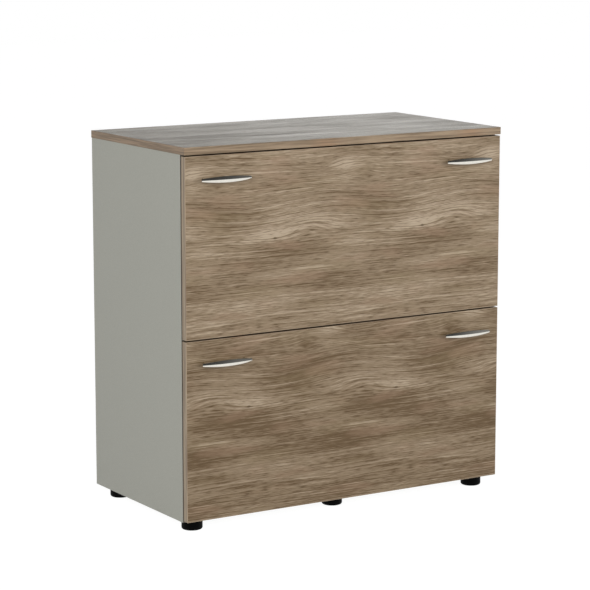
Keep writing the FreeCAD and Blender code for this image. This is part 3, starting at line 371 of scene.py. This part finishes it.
def edgeBandMaterial(name, look, across):
    g = Graph(name)
    stretched = [look["across"] if axis == across else look["along"] for axis in "XYZ"]
    streak = g.noise(g.place(scale=stretched), 1.0, 3.0, 0.6)
    fine = g.noise(g.place(scale=[look["finer"] * side for side in stretched]), 1.0, 2.0)
    along = g.add("ShaderNodeSeparateXYZ", {0: g.place()}).outputs["X"]
    away = g.calc("SUBTRACT", along, look["warmAt"])
    away = g.calc("WRAP", away, look["repeat"] / 2, -look["repeat"] / 2)
    away = g.calc("DIVIDE", away, look["warmHalf"])
    patch = g.calc("EXPONENT", g.calc("MULTIPLY", g.calc("MULTIPLY", away, away), -1.0))
    patch = g.calc("MULTIPLY", patch, g.ramp(streak, 0.30, 0.60))
    colour = g.mix(g.ramp(streak, 0.36, 0.64), tone(*look["dark"]), tone(*look["light"]))
    colour = g.mix(g.calc("MULTIPLY", patch, look["warmShare"]), colour, tone(*look["warm"]))
    colour = g.mix(g.ramp(fine, 0.48, 0.34, look["fineShare"]), colour, tone(*look["dark"]))
    # painted shade: the band's faces that look up or down, in the gaps between fronts, are darkened
    if "gapShade" in look:
        normal = g.add("ShaderNodeTexCoord").outputs["Normal"]
        upright = g.calc("ABSOLUTE", g.add("ShaderNodeSeparateXYZ", {0: normal}).outputs["Z"])
        colour = g.mix(g.ramp(upright, 0.6, 0.9, look["gapShadeShare"]), colour, tone(*look["gapShade"]))
    g.bump(fine, 0.2, 0.0001)
    rough = g.calc("ADD", g.calc("MULTIPLY", fine, look["roughSwing"]), look["roughness"])
    return g.finish(Base_Color=colour, Roughness=rough)


# Melamine board in a warm light grey

greyBoard = {
    "colour": (172, 172, 162),
    "fleck": (162, 162, 152),
    # painted shade: the carcass's front edges, in the gap behind the fronts, are painted dark
    "carcassGapShade": (84, 79, 69),
    "frontFrom": -0.1769,        # the carcass's front edges lie before this
    "pearl": 900.0,              # fine pattern, and soft clouds that shift the whole board a little
    "cloud": 4.0,
    "cloudShare": 0.10,
    "roughness": 0.45,
    "roughSwing": 0.1,
}


def greyBoardMaterial(name, look):
    g = Graph(name)
    pearl = g.noise(g.place(), look["pearl"], 2.0, 0.6)
    cloud = g.noise(g.place(), look["cloud"])
    colour = g.mix(g.ramp(pearl, 0.40, 0.62), tone(*look["fleck"]), tone(*look["colour"]))
    colour = g.mix(g.calc("MULTIPLY", cloud, look["cloudShare"]), colour, tone(*look["fleck"]))
    depth = g.add("ShaderNodeSeparateXYZ", {0: g.place()}).outputs["Y"]
    # painted shade on the carcass's front edges, where the gap behind the fronts lies in shade
    colour = g.mix(g.calc("LESS_THAN", depth, look["frontFrom"]), colour, tone(*look["carcassGapShade"]))
    g.bump(pearl, 0.12, 0.0001)
    rough = g.calc("ADD", g.calc("MULTIPLY", pearl, look["roughSwing"]), look["roughness"])
    return g.finish(Base_Color=colour, Roughness=rough)


# Metals: satin handles, rolled zinc, powder-coated frame, polished balls

satinMetal = {
    "colour": (224, 221, 212),
    "worn": (190, 188, 182),
    "roughness": 0.15,
    "brush": 0.08,               # how much the brushing changes it
    "brushAlong": 40.0,
    "brushAcross": 2400.0,
}
zincSteel = {"colour": (176, 180, 184), "spangle": (150, 154, 160), "roughness": 0.34}
zincFitting = {"colour": (168, 168, 164), "spangle": (150, 150, 148), "roughness": 0.42}
ballSteel = {"colour": (206, 208, 212), "spangle": (190, 192, 198), "roughness": 0.16}
zincRolls = {"colour": (120, 122, 126), "scale": (60.0, 4.0, 60.0), "share": 0.25, "rough": 0.2}
spanglesPerMetre = 160.0
coatedSteel = {"colour": (122, 125, 127), "shade": 0.86, "peel": 1100.0, "cloud": 9.0, "roughness": 0.45,
               "roughSwing": 0.1}


def satinMaterial(name, look):
    g = Graph(name)
    stretched = (look["brushAlong"], look["brushAcross"], look["brushAcross"])
    brush = g.noise(g.place(scale=stretched), 1.0, 2.0, 0.6)
    wear = g.noise(g.place(), 120.0, 3.0)
    colour = g.mix(g.ramp(wear, 0.45, 0.75, 0.15), tone(*look["colour"]), tone(*look["worn"]))
    rough = g.calc("ADD", g.calc("MULTIPLY", brush, look["brush"]), look["roughness"] - look["brush"] / 2)
    g.bump(brush, 0.05, 0.00005)
    return g.finish(Base_Color=colour, Roughness=rough, Metallic=1.0)


def zincMaterial(name, look):
    g = Graph(name)
    spangle = g.cells(g.place(), spanglesPerMetre)
    spangle = g.add("ShaderNodeSeparateColor", {0: spangle}).outputs[0]
    # dull lines left by the rolls
    rolled = g.noise(g.place(scale=zincRolls["scale"]), 12.0, 2.0, 0.6)
    colour = g.mix(g.calc("MULTIPLY", spangle, 0.5), tone(*look["colour"]), tone(*look["spangle"]))
    colour = g.mix(g.ramp(rolled, 0.50, 0.72, zincRolls["share"]), colour, tone(*zincRolls["colour"]))
    rough = g.calc("MULTIPLY", rolled, zincRolls["rough"])
    rough = g.calc("ADD", rough, look["roughness"] - zincRolls["rough"] / 2)
    g.bump(rolled, 0.05, 0.0001)
    return g.finish(Base_Color=colour, Roughness=rough, Metallic=1.0)


def coatedMaterial(name, look):
    g = Graph(name)
    peel = g.noise(g.place(), look["peel"], 2.0)
    cloud = g.noise(g.place(), look["cloud"])
    shade = tuple(look["shade"] * level for level in look["colour"])
    colour = g.mix(g.ramp(cloud, 0.35, 0.70, 0.35), tone(*look["colour"]), tone(*shade))
    g.bump(peel, 0.25, 0.0001)
    rough = g.calc("ADD", g.calc("MULTIPLY", peel, look["roughSwing"]), look["roughness"])
    return g.finish(Base_Color=colour, Roughness=rough)


# Plastics: black feet, pale ball cages, soft clear buffers

blackPlastic = {"colour": (2, 2, 2), "roughness": 0.55, "gloss": 0.05, "clear": 0.0}
cagePlastic = {"colour": (206, 203, 190), "roughness": 0.40, "gloss": 0.5, "clear": 0.0}
clearBuffer = {"colour": (226, 228, 224), "roughness": 0.25, "gloss": 0.5, "clear": 0.6}
plasticGrain = 1500.0
plasticScuff = 90.0
scuffPaler = 9


def plasticMaterial(name, look):
    g = Graph(name)
    grain = g.noise(g.place(), plasticGrain, 2.0, 0.6)
    scuff = g.noise(g.place(), plasticScuff, 3.0, 0.65)
    pale = tuple(min(255, level + scuffPaler) for level in look["colour"])
    colour = g.mix(g.ramp(scuff, 0.52, 0.80, 0.5), tone(*look["colour"]), tone(*pale))
    g.bump(grain, 0.2, 0.0001)
    rough = g.calc("ADD", g.calc("MULTIPLY", scuff, 0.15), look["roughness"] - 0.05)
    return g.finish(Base_Color=colour, Roughness=rough, Transmission_Weight=look["clear"],
                    Specular_IOR_Level=look["gloss"])


# the lower front shows the print mirrored and shifted, and a little darker: partly the print's own tone and
# partly painted shade, as less light falls on the lower front
asPrinted = (1, 0.0, 0.0)
mirrored = (-1, -0.057, 0.353)
frontWoodUpper = woodMaterial("frontWoodUpper", woodDecor, "Z", asPrinted, decorFigures, decorEyes, -0.08)
frontWoodLower = woodMaterial("frontWoodLower", woodDecor, "Z", mirrored, decorFigures, decorEyes, -0.47)
topWood = woodMaterial("topWood", topDecor, "Y", asPrinted, topFiguresAndLightSlope)
dowelWood = woodMaterial("dowelWood", beech, "Y", asPrinted)
topEdgeWood = edgeBandMaterial("topEdgeWood", edgeBand, "Z")
frontEdgeWood = edgeBandMaterial("frontEdgeWood", frontBand, "Y")
greyMelamine = greyBoardMaterial("greyMelamine", greyBoard)
satin = satinMaterial("satinHandle", satinMetal)
zinc = zincMaterial("zincRunner", zincSteel)
zincCast = zincMaterial("zincFitting", zincFitting)
polished = zincMaterial("polishedBall", ballSteel)
steelFrame = coatedMaterial("coatedFrame", coatedSteel)
black = plasticMaterial("blackPlastic", blackPlastic)
cage = plasticMaterial("cagePlastic", cagePlastic)
buffer = plasticMaterial("clearBuffer", clearBuffer)

paint(frontWoodUpper, "upper_front")
paint(frontWoodLower, "lower_front")
paint(topWood, "top_panel")
paint(topEdgeWood, "top_edge_band")
paint(frontEdgeWood, "upper_front_edge_band", "lower_front_edge_band")
paint(greyMelamine, "left_side_panel", "right_side_panel", "bottom_panel", "back_panel")
paint(dowelWood, "wooden_dowels")
paint(zincCast, "cam_housings", "cam_bolts", "foot_inserts", "cabinet_member_screws")
for drawer in ("upper", "lower"):
    paint(zincCast, drawer + "_handle_screws", drawer + "_frame_screws", drawer + "_member_screws")
    paint(buffer, drawer + "_buffers")
    paint(cage, drawer + "_outer_ball_cages", drawer + "_inner_ball_cages")
    paint(steelFrame, drawer + "_front_bar", drawer + "_rear_bar", drawer + "_centre_rail",
          drawer + "_front_brackets")
    for side in ("left", "right"):
        paint(steelFrame, "%s_%s_side_rail" % (drawer, side))
        paint(satin, "%s_%s_handle" % (drawer, side))
        for member in ("cabinet", "middle", "drawer"):
            paint(zinc, "%s_%s_%s_member" % (drawer, side, member))
feet = [name for name in nodes if name.endswith("_foot")]
paint(black, *feet)
print("materials made")


# New pieces

samePlace = 1e-6                 # points closer than this are one
smoothTo = 32                    # degrees up to which neighbouring faces blend


def newPiece(name, bm, material, body, slotName, *replaced, crisp=False):
    bmesh.ops.remove_doubles(bm, verts=bm.verts, dist=samePlace)
    bmesh.ops.recalc_face_normals(bm, faces=bm.faces)
    mesh = bpy.data.meshes.new(name)
    bm.to_mesh(mesh)
    bm.free()
    for face in mesh.polygons:
        face.use_smooth = True
    mesh.set_sharp_from_angle(angle=math.radians(smoothTo))
    mesh.materials.append(material)
    piece = bpy.data.objects.new(name, mesh)
    bpy.context.scene.collection.objects.link(piece)
    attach(piece, body)
    if replaced:
        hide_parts(*replaced)
    if crisp:
        # wide faces keep their own direction, and only the small roundings between them blend
        piece.modifiers.new("crisp", "WEIGHTED_NORMAL").keep_sharp = True


# Handles: a bowed blade with a crease along its front, on two posts

bowHandle = {
    "reach": 0.021,              # crease in front of the drawer front
    "tipReach": 0.015,
    "up": 0.0066,                # blade above and below its crease
    "down": 0.0064,
    "tipUp": 0.0032,
    "tipDown": 0.0026,
    "upperBevel": 0.0044,        # crease in front of the upper and lower edge
    "lowerBevel": 0.0032,
    "upperMiddle": (0.50, 0.50), # middle line of each facet, as shares of its bevel and height
    "lowerMiddle": (0.46, 0.52),
    "thick": 0.0050,
    "backUp": 0.92,              # back edges, as shares of up and down
    "backDown": 0.94,
    "tipThin": 0.62,             # thickness at the tips, as a share of the middle's
    "rounding": 0.0003,
    "sharpFrom": 20,             # degrees between faces whose edge is rounded
    "steps": 36,
    "postRadius": 0.0034,
    "postFlare": 1.15,
    "postSeat": 0.7,             # how deep the posts start in the blade, as a share of its thickness
    "postStep": 0.048,
    "postRise": 0.0010,          # posts' axis above the crease
    "postSides": 32,
    "postEndFrom": 45,           # degrees between faces at the rims of a post's ends
}


def makeHandle(name, body, look):
    low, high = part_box(name)
    half = (high.x - low.x) / 2
    centre = Vector(((low.x + high.x) / 2, 0, low.z + look["down"]))
    bow = look["reach"] - look["tipReach"]
    radius = (half ** 2 + bow ** 2) / (2 * bow)
    axis = Vector((centre.x, low.y + radius, centre.z))
    bm = bmesh.new()
    upperBack, upperRise = look["upperMiddle"]
    lowerBack, lowerDrop = look["lowerMiddle"]
    section = [(0, 0),
               (upperBack * look["upperBevel"], upperRise * look["up"]),
               (look["upperBevel"], look["up"]),
               (look["thick"], look["backUp"] * look["up"]),
               (look["thick"], -look["backDown"] * look["down"]),
               (look["lowerBevel"], -look["down"]),
               (lowerBack * look["lowerBevel"], -lowerDrop * look["down"])]
    ring = [bm.verts.new((centre.x, low.y + back, centre.z + up)) for back, up in section]
    rim = [bm.edges.new((ring[i], ring[(i + 1) % len(ring)])) for i in range(len(ring))]
    sweep = 2 * math.asin(half / radius)
    bmesh.ops.rotate(bm, verts=ring, cent=axis, matrix=Matrix.Rotation(-sweep / 2, 3, "Z"))
    bmesh.ops.spin(bm, geom=ring + rim, cent=axis, axis=(0, 0, 1), angle=sweep, steps=look["steps"])
    # taper towards the tips: both outlines are flat bows, and the blade thins
    for vert in bm.verts:
        way = min(1.0, abs(vert.co.x - centre.x) / half)
        full = 1 - way ** 2
        rise = vert.co.z - centre.z
        tip, middle = (look["tipUp"], look["up"]) if rise > 0 else (look["tipDown"], look["down"])
        vert.co.z = centre.z + rise * (tip + (middle - tip) * full) / middle
        out = Vector((vert.co.x - axis.x, vert.co.y - axis.y, 0))
        deep = radius - out.length
        out.length = radius - deep * (look["tipThin"] + (1 - look["tipThin"]) * full)
        vert.co.x, vert.co.y = axis.x + out.x, axis.y + out.y
    bmesh.ops.holes_fill(bm, edges=bm.edges, sides=len(section))
    bmesh.ops.recalc_face_normals(bm, faces=bm.faces)
    sharpFrom = math.radians(look["sharpFrom"])
    sharp = [edge for edge in bm.edges if edge.is_manifold and edge.calc_face_angle() > sharpFrom]
    bmesh.ops.bevel(bm, geom=sharp, offset=look["rounding"], segments=2, profile=0.5,
                    affect="EDGES", material=-1, clamp_overlap=True)
    # posts with a small flare at the drawer front
    for sign in (-1, 1):
        x = centre.x + sign * look["postStep"]
        face = high.y
        depth = math.sqrt(radius ** 2 - look["postStep"] ** 2)
        front = axis.y - depth + look["thick"] * look["postSeat"]
        place = Matrix.Translation((x, (face + front) / 2, centre.z + look["postRise"]))
        made = bmesh.ops.create_cone(bm, cap_ends=True, segments=look["postSides"],
                                     radius1=look["postRadius"] * look["postFlare"],
                                     radius2=look["postRadius"], depth=face - front,
                                     matrix=place @ Matrix.Rotation(math.radians(90), 4, "X"))
        ends = {edge for vert in made["verts"] for edge in vert.link_edges
                if edge.calc_face_angle(0) > math.radians(look["postEndFrom"])}
        bmesh.ops.bevel(bm, geom=list(ends), offset=look["rounding"], segments=2, profile=0.5,
                        affect="EDGES", material=-1)
    newPiece(name + "_shell", bm, satin, body, "satin_metal", name, crisp=True)


# Levelling feet: a black turned base on a short spindle

levellingFoot = {
    "radius": 0.0225,
    "shoulder": 0.0227,          # top of the base
    "rounding": 0.0045,
    "roundSteps": 6,
    "topChamfer": 0.0008,
    "soleDip": 0.0006,           # hollow of the sole
    "dipFrom": 0.62,             # its rim slopes between these shares of the radius
    "dipTo": 0.66,
    "spindle": 0.005,
    "neck": 1.3,                 # groove around the spindle, as a share of its radius
    "neckDepth": 0.0006,
    "steps": 72,
}


def makeFoot(name, body, look):
    low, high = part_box(name)
    centre = (low + high) / 2
    radius, rounding, shoulder = look["radius"], look["rounding"], look["shoulder"]
    profile = [(0.0, look["soleDip"]), (radius * look["dipFrom"], look["soleDip"]),
               (radius * look["dipTo"], 0.0), (radius - rounding, 0.0)]
    for step in range(1, look["roundSteps"] + 1):
        turn = math.radians(90 / look["roundSteps"] * step)
        profile.append((radius - rounding * (1 - math.sin(turn)), rounding * (1 - math.cos(turn))))
    profile += [(radius, shoulder - look["topChamfer"]), (radius - look["topChamfer"], shoulder),
                (look["spindle"] * look["neck"], shoulder),
                (look["spindle"], shoulder - look["neckDepth"]),
                (look["spindle"], high.z), (0.0, high.z)]
    bm = bmesh.new()
    verts = [bm.verts.new((centre.x + across, centre.y, low.z + up)) for across, up in profile]
    rim = [bm.edges.new(pair) for pair in zip(verts, verts[1:])]
    bmesh.ops.spin(bm, geom=verts + rim, cent=(centre.x, centre.y, 0), axis=(0, 0, 1), angle=2 * math.pi,
                   steps=look["steps"], use_merge=True)
    newPiece(name + "_base", bm, black, body, "black_plastic", name)


for drawer in ("upper", "lower"):
    for side in ("left", "right"):
        makeHandle("%s_%s_handle" % (drawer, side), drawer + "_drawer", bowHandle)
for name in feet:
    makeFoot(name, name, levellingFoot)
print("handles and feet made")


# Screws, cams and balls: one shape each, repeated at every place

panScrew = {
    "pitch": 0.0013,
    "groove": 0.80,              # thread's core, as a share of its radius
    "tip": 0.0006,               # height of the tip, and its width as a share of the shank's
    "tipShare": 0.50,
    "headLine": ((0.96, 0.0), (1.0, 0.12), (0.97, 0.45), (0.86, 0.78)),   # in its radius and height
    "topShare": 0.62,            # flat top of the head, as a share of its radius
    "armShare": 0.50,            # cross recess, as shares of the head's radius
    "slotShare": 0.13,
    "depthShare": 0.55,          # and of its height
    "steps": 24,
}
screwSizes = {
    "member": {"head": 0.0036, "rise": 0.0009, "shank": 0.0020, "length": 0.0038},
    "handle": {"head": 0.0038, "rise": 0.0024, "shank": 0.0020, "length": 0.0248},
    "frame": {"head": 0.0040, "rise": 0.0020, "shank": 0.0020, "length": 0.0128},
    "cabinetMember": {"head": 0.0036, "rise": 0.0009, "shank": 0.0020, "length": 0.0118},
}
camLock = {
    "radius": 0.0075,
    "depth": 0.0120,
    "wall": 0.0012,
    "plate": 0.0034,             # thickness of the face with the cross
    "arm": 0.0036,               # cross recess: half length, half width and depth
    "slot": 0.0008,
    "recess": 0.0024,
    "chamfer": 0.0003,
    "steps": 40,
}
recessTaper = 0.65               # a cross recess's floor, as a share of its mouth


def spinProfile(bm, profile, steps):
    # turns a line of (radius, height) points about Z
    verts = [bm.verts.new((across, 0, up)) for across, up in profile]
    edges = [bm.edges.new(pair) for pair in zip(verts, verts[1:])]
    bmesh.ops.spin(bm, geom=verts + edges, cent=(0, 0, 0), axis=(0, 0, 1), angle=2 * math.pi, steps=steps,
                   use_merge=True)
    bmesh.ops.remove_doubles(bm, verts=bm.verts, dist=samePlace)


def crossRecess(bm, level, arm, slot, depth):
    # closes the open rim at this level with a flat top, and presses a cross into it
    def atTop(part):
        return min(vert.co.z for vert in part.verts) > level - samePlace

    rim = [edge for edge in bm.edges if edge.is_boundary and atTop(edge)]
    bmesh.ops.edgeloop_fill(bm, edges=rim)
    for way in (Vector((1, 0, 0)), Vector((0, 1, 0))):
        for offset in (-arm, -slot, slot, arm):
            cap = [face for face in bm.faces if atTop(face)]
            parts = set(cap) | {edge for face in cap for edge in face.edges}
            parts |= {vert for face in cap for vert in face.verts}
            bmesh.ops.bisect_plane(bm, geom=list(parts), dist=1e-7, plane_co=way * offset, plane_no=way)
    pressed = []
    for face in bm.faces:
        middle = face.calc_center_median()
        near, far = sorted((abs(middle.x), abs(middle.y)))
        if middle.z > level - samePlace and near < slot and far < arm:
            pressed.append(face)
    made = bmesh.ops.extrude_face_region(bm, geom=pressed)
    bmesh.ops.delete(bm, geom=pressed, context="FACES")
    floor = [vert for vert in made["geom"] if isinstance(vert, bmesh.types.BMVert)]
    bmesh.ops.translate(bm, verts=floor, vec=(0, 0, -depth))
    bmesh.ops.scale(bm, verts=floor, vec=(recessTaper, recessTaper, 1))


def repeatShape(bm, matrices):
    # one copy of the whole shape at each place, and the first one taken away
    base = bm.verts[:] + bm.edges[:] + bm.faces[:]
    first = bm.verts[:]
    for matrix in matrices:
        made = bmesh.ops.duplicate(bm, geom=base)
        verts = [part for part in made["geom"] if isinstance(part, bmesh.types.BMVert)]
        bmesh.ops.transform(bm, matrix=matrix, verts=verts)
    bmesh.ops.delete(bm, geom=first, context="VERTS")


def facing(place, way):
    # puts a shape that stands along +Z at a place, turned to face a way
    return Matrix.Translation(place) @ Vector(way).to_track_quat("Z", "Y").to_matrix().to_4x4()


def makeScrews(name, body, places, size, look):
    bm = bmesh.new()
    head, rise, shank, length = size["head"], size["rise"], size["shank"], size["length"]
    profile = [(0.0, -length), (shank * look["tipShare"], -length),
               (shank * look["groove"], -length + look["tip"])]
    level = -length + look["tip"] + look["pitch"] / 2
    while level < -look["pitch"]:
        profile += [(shank, level), (shank * look["groove"], level + look["pitch"] / 2)]
        level += look["pitch"]
    profile += [(shank, -look["pitch"] / 3), (shank, 0.0)]
    profile += [(head * across, rise * up) for across, up in look["headLine"]]
    profile.append((head * look["topShare"], rise))
    spinProfile(bm, profile, look["steps"])
    crossRecess(bm, rise, head * look["armShare"], head * look["slotShare"], rise * look["depthShare"])
    repeatShape(bm, [facing(place, way) for place, way in places])
    newPiece(name + "_made", bm, zincCast, body, "zinc_fittings", name)


def makeCams(name, places, look):
    bm = bmesh.new()
    outer, inner = look["radius"], look["radius"] - look["wall"]
    profile = [(0.0, -look["plate"]), (inner, -look["plate"]), (inner, -look["depth"]),
               (outer, -look["depth"]), (outer, -look["chamfer"]), (outer - look["chamfer"], 0.0)]
    spinProfile(bm, profile, look["steps"])
    crossRecess(bm, 0.0, look["arm"], look["slot"], look["recess"])
    repeatShape(bm, [facing(place, way) for place, way in places])
    newPiece(name + "_made", bm, zincCast, "carcass", "zinc_fittings", name)


def makeBalls(drawer, row, look):
    # a row of balls above and one below, in the left and the right runner
    bm = bmesh.new()
    bmesh.ops.create_icosphere(bm, subdivisions=2, radius=look["ball"])
    away, rise = look[row]
    level = look["axis"] - look["drop"][drawer]
    first = look["rowMiddle"] - look["ballStep"] * (look["ballCount"] - 1) / 2
    places = [Matrix.Translation((side * away, first + index * look["ballStep"], level + up * rise))
              for side in (-1, 1) for up in (-1, 1) for index in range(look["ballCount"])]
    repeatShape(bm, places)
    newPiece("%s_%s_balls" % (drawer, row), bm, polished, "%s_%s_ball_cages" % (drawer, row), "zinc_runner")


# Where they sit; the lower drawer's lie a drop below the upper drawer's
fixings = {
    "drop": {"upper": 0.0, "lower": 0.3845},
    "axis": 0.6585,              # runner
    "runnerScrews": (-0.15425, 0.13375),
    "cabinetSeat": 0.3815,
    "drawerSeat": 0.3708,
    "barScrew": (0.120, -0.17875, 0.6620),
    "bracketScrew": (0.36005, -0.17875, 0.5135),
    "handleScrews": (0.2595, 0.3555),
    "handleSeat": -0.18025,
    "handleLevel": 0.7466,
    "camDepths": (-0.09725, 0.13725),
    "highCam": (0.3825, 0.764),
    "lowCam": (0.3485, 0.023),
    "ball": 0.0012,
    "ballStep": 0.012,
    "ballCount": 9,
    "rowMiddle": 0.00075,
    "outer": (0.376014, 0.020400),   # ball row from the middle plane, and from the runner's axis
    "inner": (0.373500, 0.017685),
}


def makeFixings(look):
    cabinetPlaces = []
    camPlaces = []
    for drawer, drop in look["drop"].items():
        level = look["axis"] - drop
        places = {"member": [], "handle": [], "frame": []}
        for side in (-1, 1):
            for depth in look["runnerScrews"]:
                cabinetPlaces.append(((side * look["cabinetSeat"], depth, level), (-side, 0, 0)))
                places["member"].append(((side * look["drawerSeat"], depth, level), (side, 0, 0)))
            for away in look["handleScrews"]:
                height = look["handleLevel"] - drop
                places["handle"].append(((side * away, look["handleSeat"], height), (0, 1, 0)))
            for away, depth, height in (look["barScrew"], look["bracketScrew"]):
                places["frame"].append(((side * away, depth, height - drop), (0, 1, 0)))
        for kind, spots in places.items():
            name = "%s_%s_screws" % (drawer, kind)
            makeScrews(name, drawer + "_drawer", spots, screwSizes[kind], panScrew)
        for row in ("outer", "inner"):
            makeBalls(drawer, row, look)
    makeScrews("cabinet_member_screws", "carcass", cabinetPlaces, screwSizes["cabinetMember"], panScrew)
    for side in (-1, 1):
        for depth in look["camDepths"]:
            away, level = look["highCam"]
            camPlaces.append(((side * away, depth, level), (-side, 0, 0)))
            away, level = look["lowCam"]
            camPlaces.append(((side * away, depth, level), (0, 0, -1)))
    makeCams("cam_housings", camPlaces, camLock)


makeFixings(fixings)
print("screws, cams and balls made")


# Stage: floor, lamps, world and camera

stageSizes = {
    "floorReach": 14.0,
    "floorTone": 0.86,           # for the light that it throws back
    "floorGlow": 0.94,           # for the camera and in reflections, with the tone that its shadows fall on
    "shadowTone": 0.22,
    "horizonLevel": 1.0,         # the room's light, from its walls up to its dim ceiling
    "zenithLevel": 0.06,
    "wallsTo": 0.12,             # heights on a unit ball where the walls end and the ceiling starts
    "ceilingFrom": 0.80,
    "lampAim": (0.0, 0.0, 0.4),
    "keyWatts": 77.0,
    "keyPlace": (-2.8, -3.4, 1.9),
    "fillWatts": 70.0,
    "fillPlace": (2.6, -3.6, 1.4),
    "lampSide": 2.0,
}


def areaLamp(name, place, watts, sizes):
    data = bpy.data.lights.new(name, "AREA")
    data.shape = "SQUARE"
    data.size = sizes["lampSide"]
    data.energy = watts
    lamp = bpy.data.objects.new(name, data)
    bpy.context.scene.collection.objects.link(lamp)
    lamp.visible_glossy = False   # the boards show the pale room, and no lamp's glare
    lamp.location = place
    away = Vector(sizes["lampAim"]) - Vector(place)
    lamp.rotation_euler = away.to_track_quat("-Z", "Y").to_euler()


def makeFloor(sizes):
    mesh = bpy.data.meshes.new("floor")
    bm = bmesh.new()
    bmesh.ops.create_grid(bm, x_segments=2, y_segments=2, size=sizes["floorReach"])
    bm.to_mesh(mesh)
    bm.free()
    floor = bpy.data.objects.new("floor", mesh)
    bpy.context.scene.collection.objects.link(floor)
    g = Graph("whiteFloor")
    grey = sizes["floorTone"]
    g.finish(Base_Color=(grey, grey, grey, 1), Roughness=0.9, Specular_IOR_Level=0.1)
    # where the camera and reflections see it, it is white with a faint shadow
    white = g.add("ShaderNodeEmission", {"Color": (1, 1, 1, 1), "Strength": sizes["floorGlow"]})
    grey = sizes["shadowTone"]
    shadow = g.add("ShaderNodeBsdfDiffuse", {"Color": (grey, grey, grey, 1)})
    shown = g.add("ShaderNodeAddShader", {0: white.outputs[0], 1: shadow.outputs[0]})
    path = g.add("ShaderNodeLightPath")
    seen = g.calc("MAXIMUM", path.outputs["Is Camera Ray"],
                  g.calc("MAXIMUM", path.outputs["Is Glossy Ray"], path.outputs["Is Transmission Ray"]))
    mix = g.add("ShaderNodeMixShader", {0: seen, 1: g.shader.outputs[0], 2: shown.outputs[0]})
    g.feed(g.tree.nodes["Material Output"].inputs["Surface"], mix.outputs[0])
    mesh.materials.append(g.material)


def makeWorld(sizes):
    # white where the camera looks; for the light, bright walls that fade to a dim ceiling
    world = bpy.data.worlds.new("studio")
    world.use_nodes = True
    bpy.context.scene.world = world
    tree = world.node_tree
    tree.nodes.clear()

    def add(kind, **settings):
        node = tree.nodes.new(kind)
        for key, value in settings.items():
            setattr(node, key, value)
        return node

    path = add("ShaderNodeLightPath")
    height = add("ShaderNodeSeparateXYZ")
    tree.links.new(add("ShaderNodeTexCoord").outputs["Generated"], height.inputs[0])
    level = add("ShaderNodeMapRange", interpolation_type="SMOOTHSTEP")
    for key, value in (("From Min", sizes["wallsTo"]), ("From Max", sizes["ceilingFrom"]),
                       ("To Min", sizes["horizonLevel"]), ("To Max", sizes["zenithLevel"])):
        level.inputs[key].default_value = value
    tree.links.new(height.outputs["Z"], level.inputs["Value"])
    walls = add("ShaderNodeBackground")
    tree.links.new(level.outputs[0], walls.inputs["Strength"])
    white = add("ShaderNodeBackground")
    either = add("ShaderNodeMath", operation="MAXIMUM")
    tree.links.new(path.outputs["Is Camera Ray"], either.inputs[0])
    tree.links.new(path.outputs["Is Transmission Ray"], either.inputs[1])
    mix = add("ShaderNodeMixShader")
    tree.links.new(either.outputs[0], mix.inputs[0])
    tree.links.new(walls.outputs[0], mix.inputs[1])
    tree.links.new(white.outputs[0], mix.inputs[2])
    for node in (walls, white):
        node.inputs["Color"].default_value = (1, 1, 1, 1)
    tree.links.new(mix.outputs[0], add("ShaderNodeOutputWorld").inputs["Surface"])


cameraSizes = {
    "place": (-2.7769, -4.4499, 1.3461),
    "yaw": 31.851,               # degrees to the right of +Y
    "pitch": 9.742,              # degrees down
    "lens": 146.70,
}


def makeCamera(sizes):
    data = bpy.data.cameras.new("camera")
    data.sensor_width = 36
    data.lens = sizes["lens"]
    camera = bpy.data.objects.new("camera", data)
    bpy.context.scene.collection.objects.link(camera)
    camera.location = sizes["place"]
    camera.rotation_euler = (math.radians(90 - sizes["pitch"]), 0, -math.radians(sizes["yaw"]))
    bpy.context.scene.camera = camera


makeFloor(stageSizes)
makeWorld(stageSizes)
areaLamp("key", stageSizes["keyPlace"], stageSizes["keyWatts"], stageSizes)
areaLamp("fill", stageSizes["fillPlace"], stageSizes["fillWatts"], stageSizes)
makeCamera(cameraSizes)
bpy.context.scene.view_settings.view_transform = "Standard"
print("stage made")
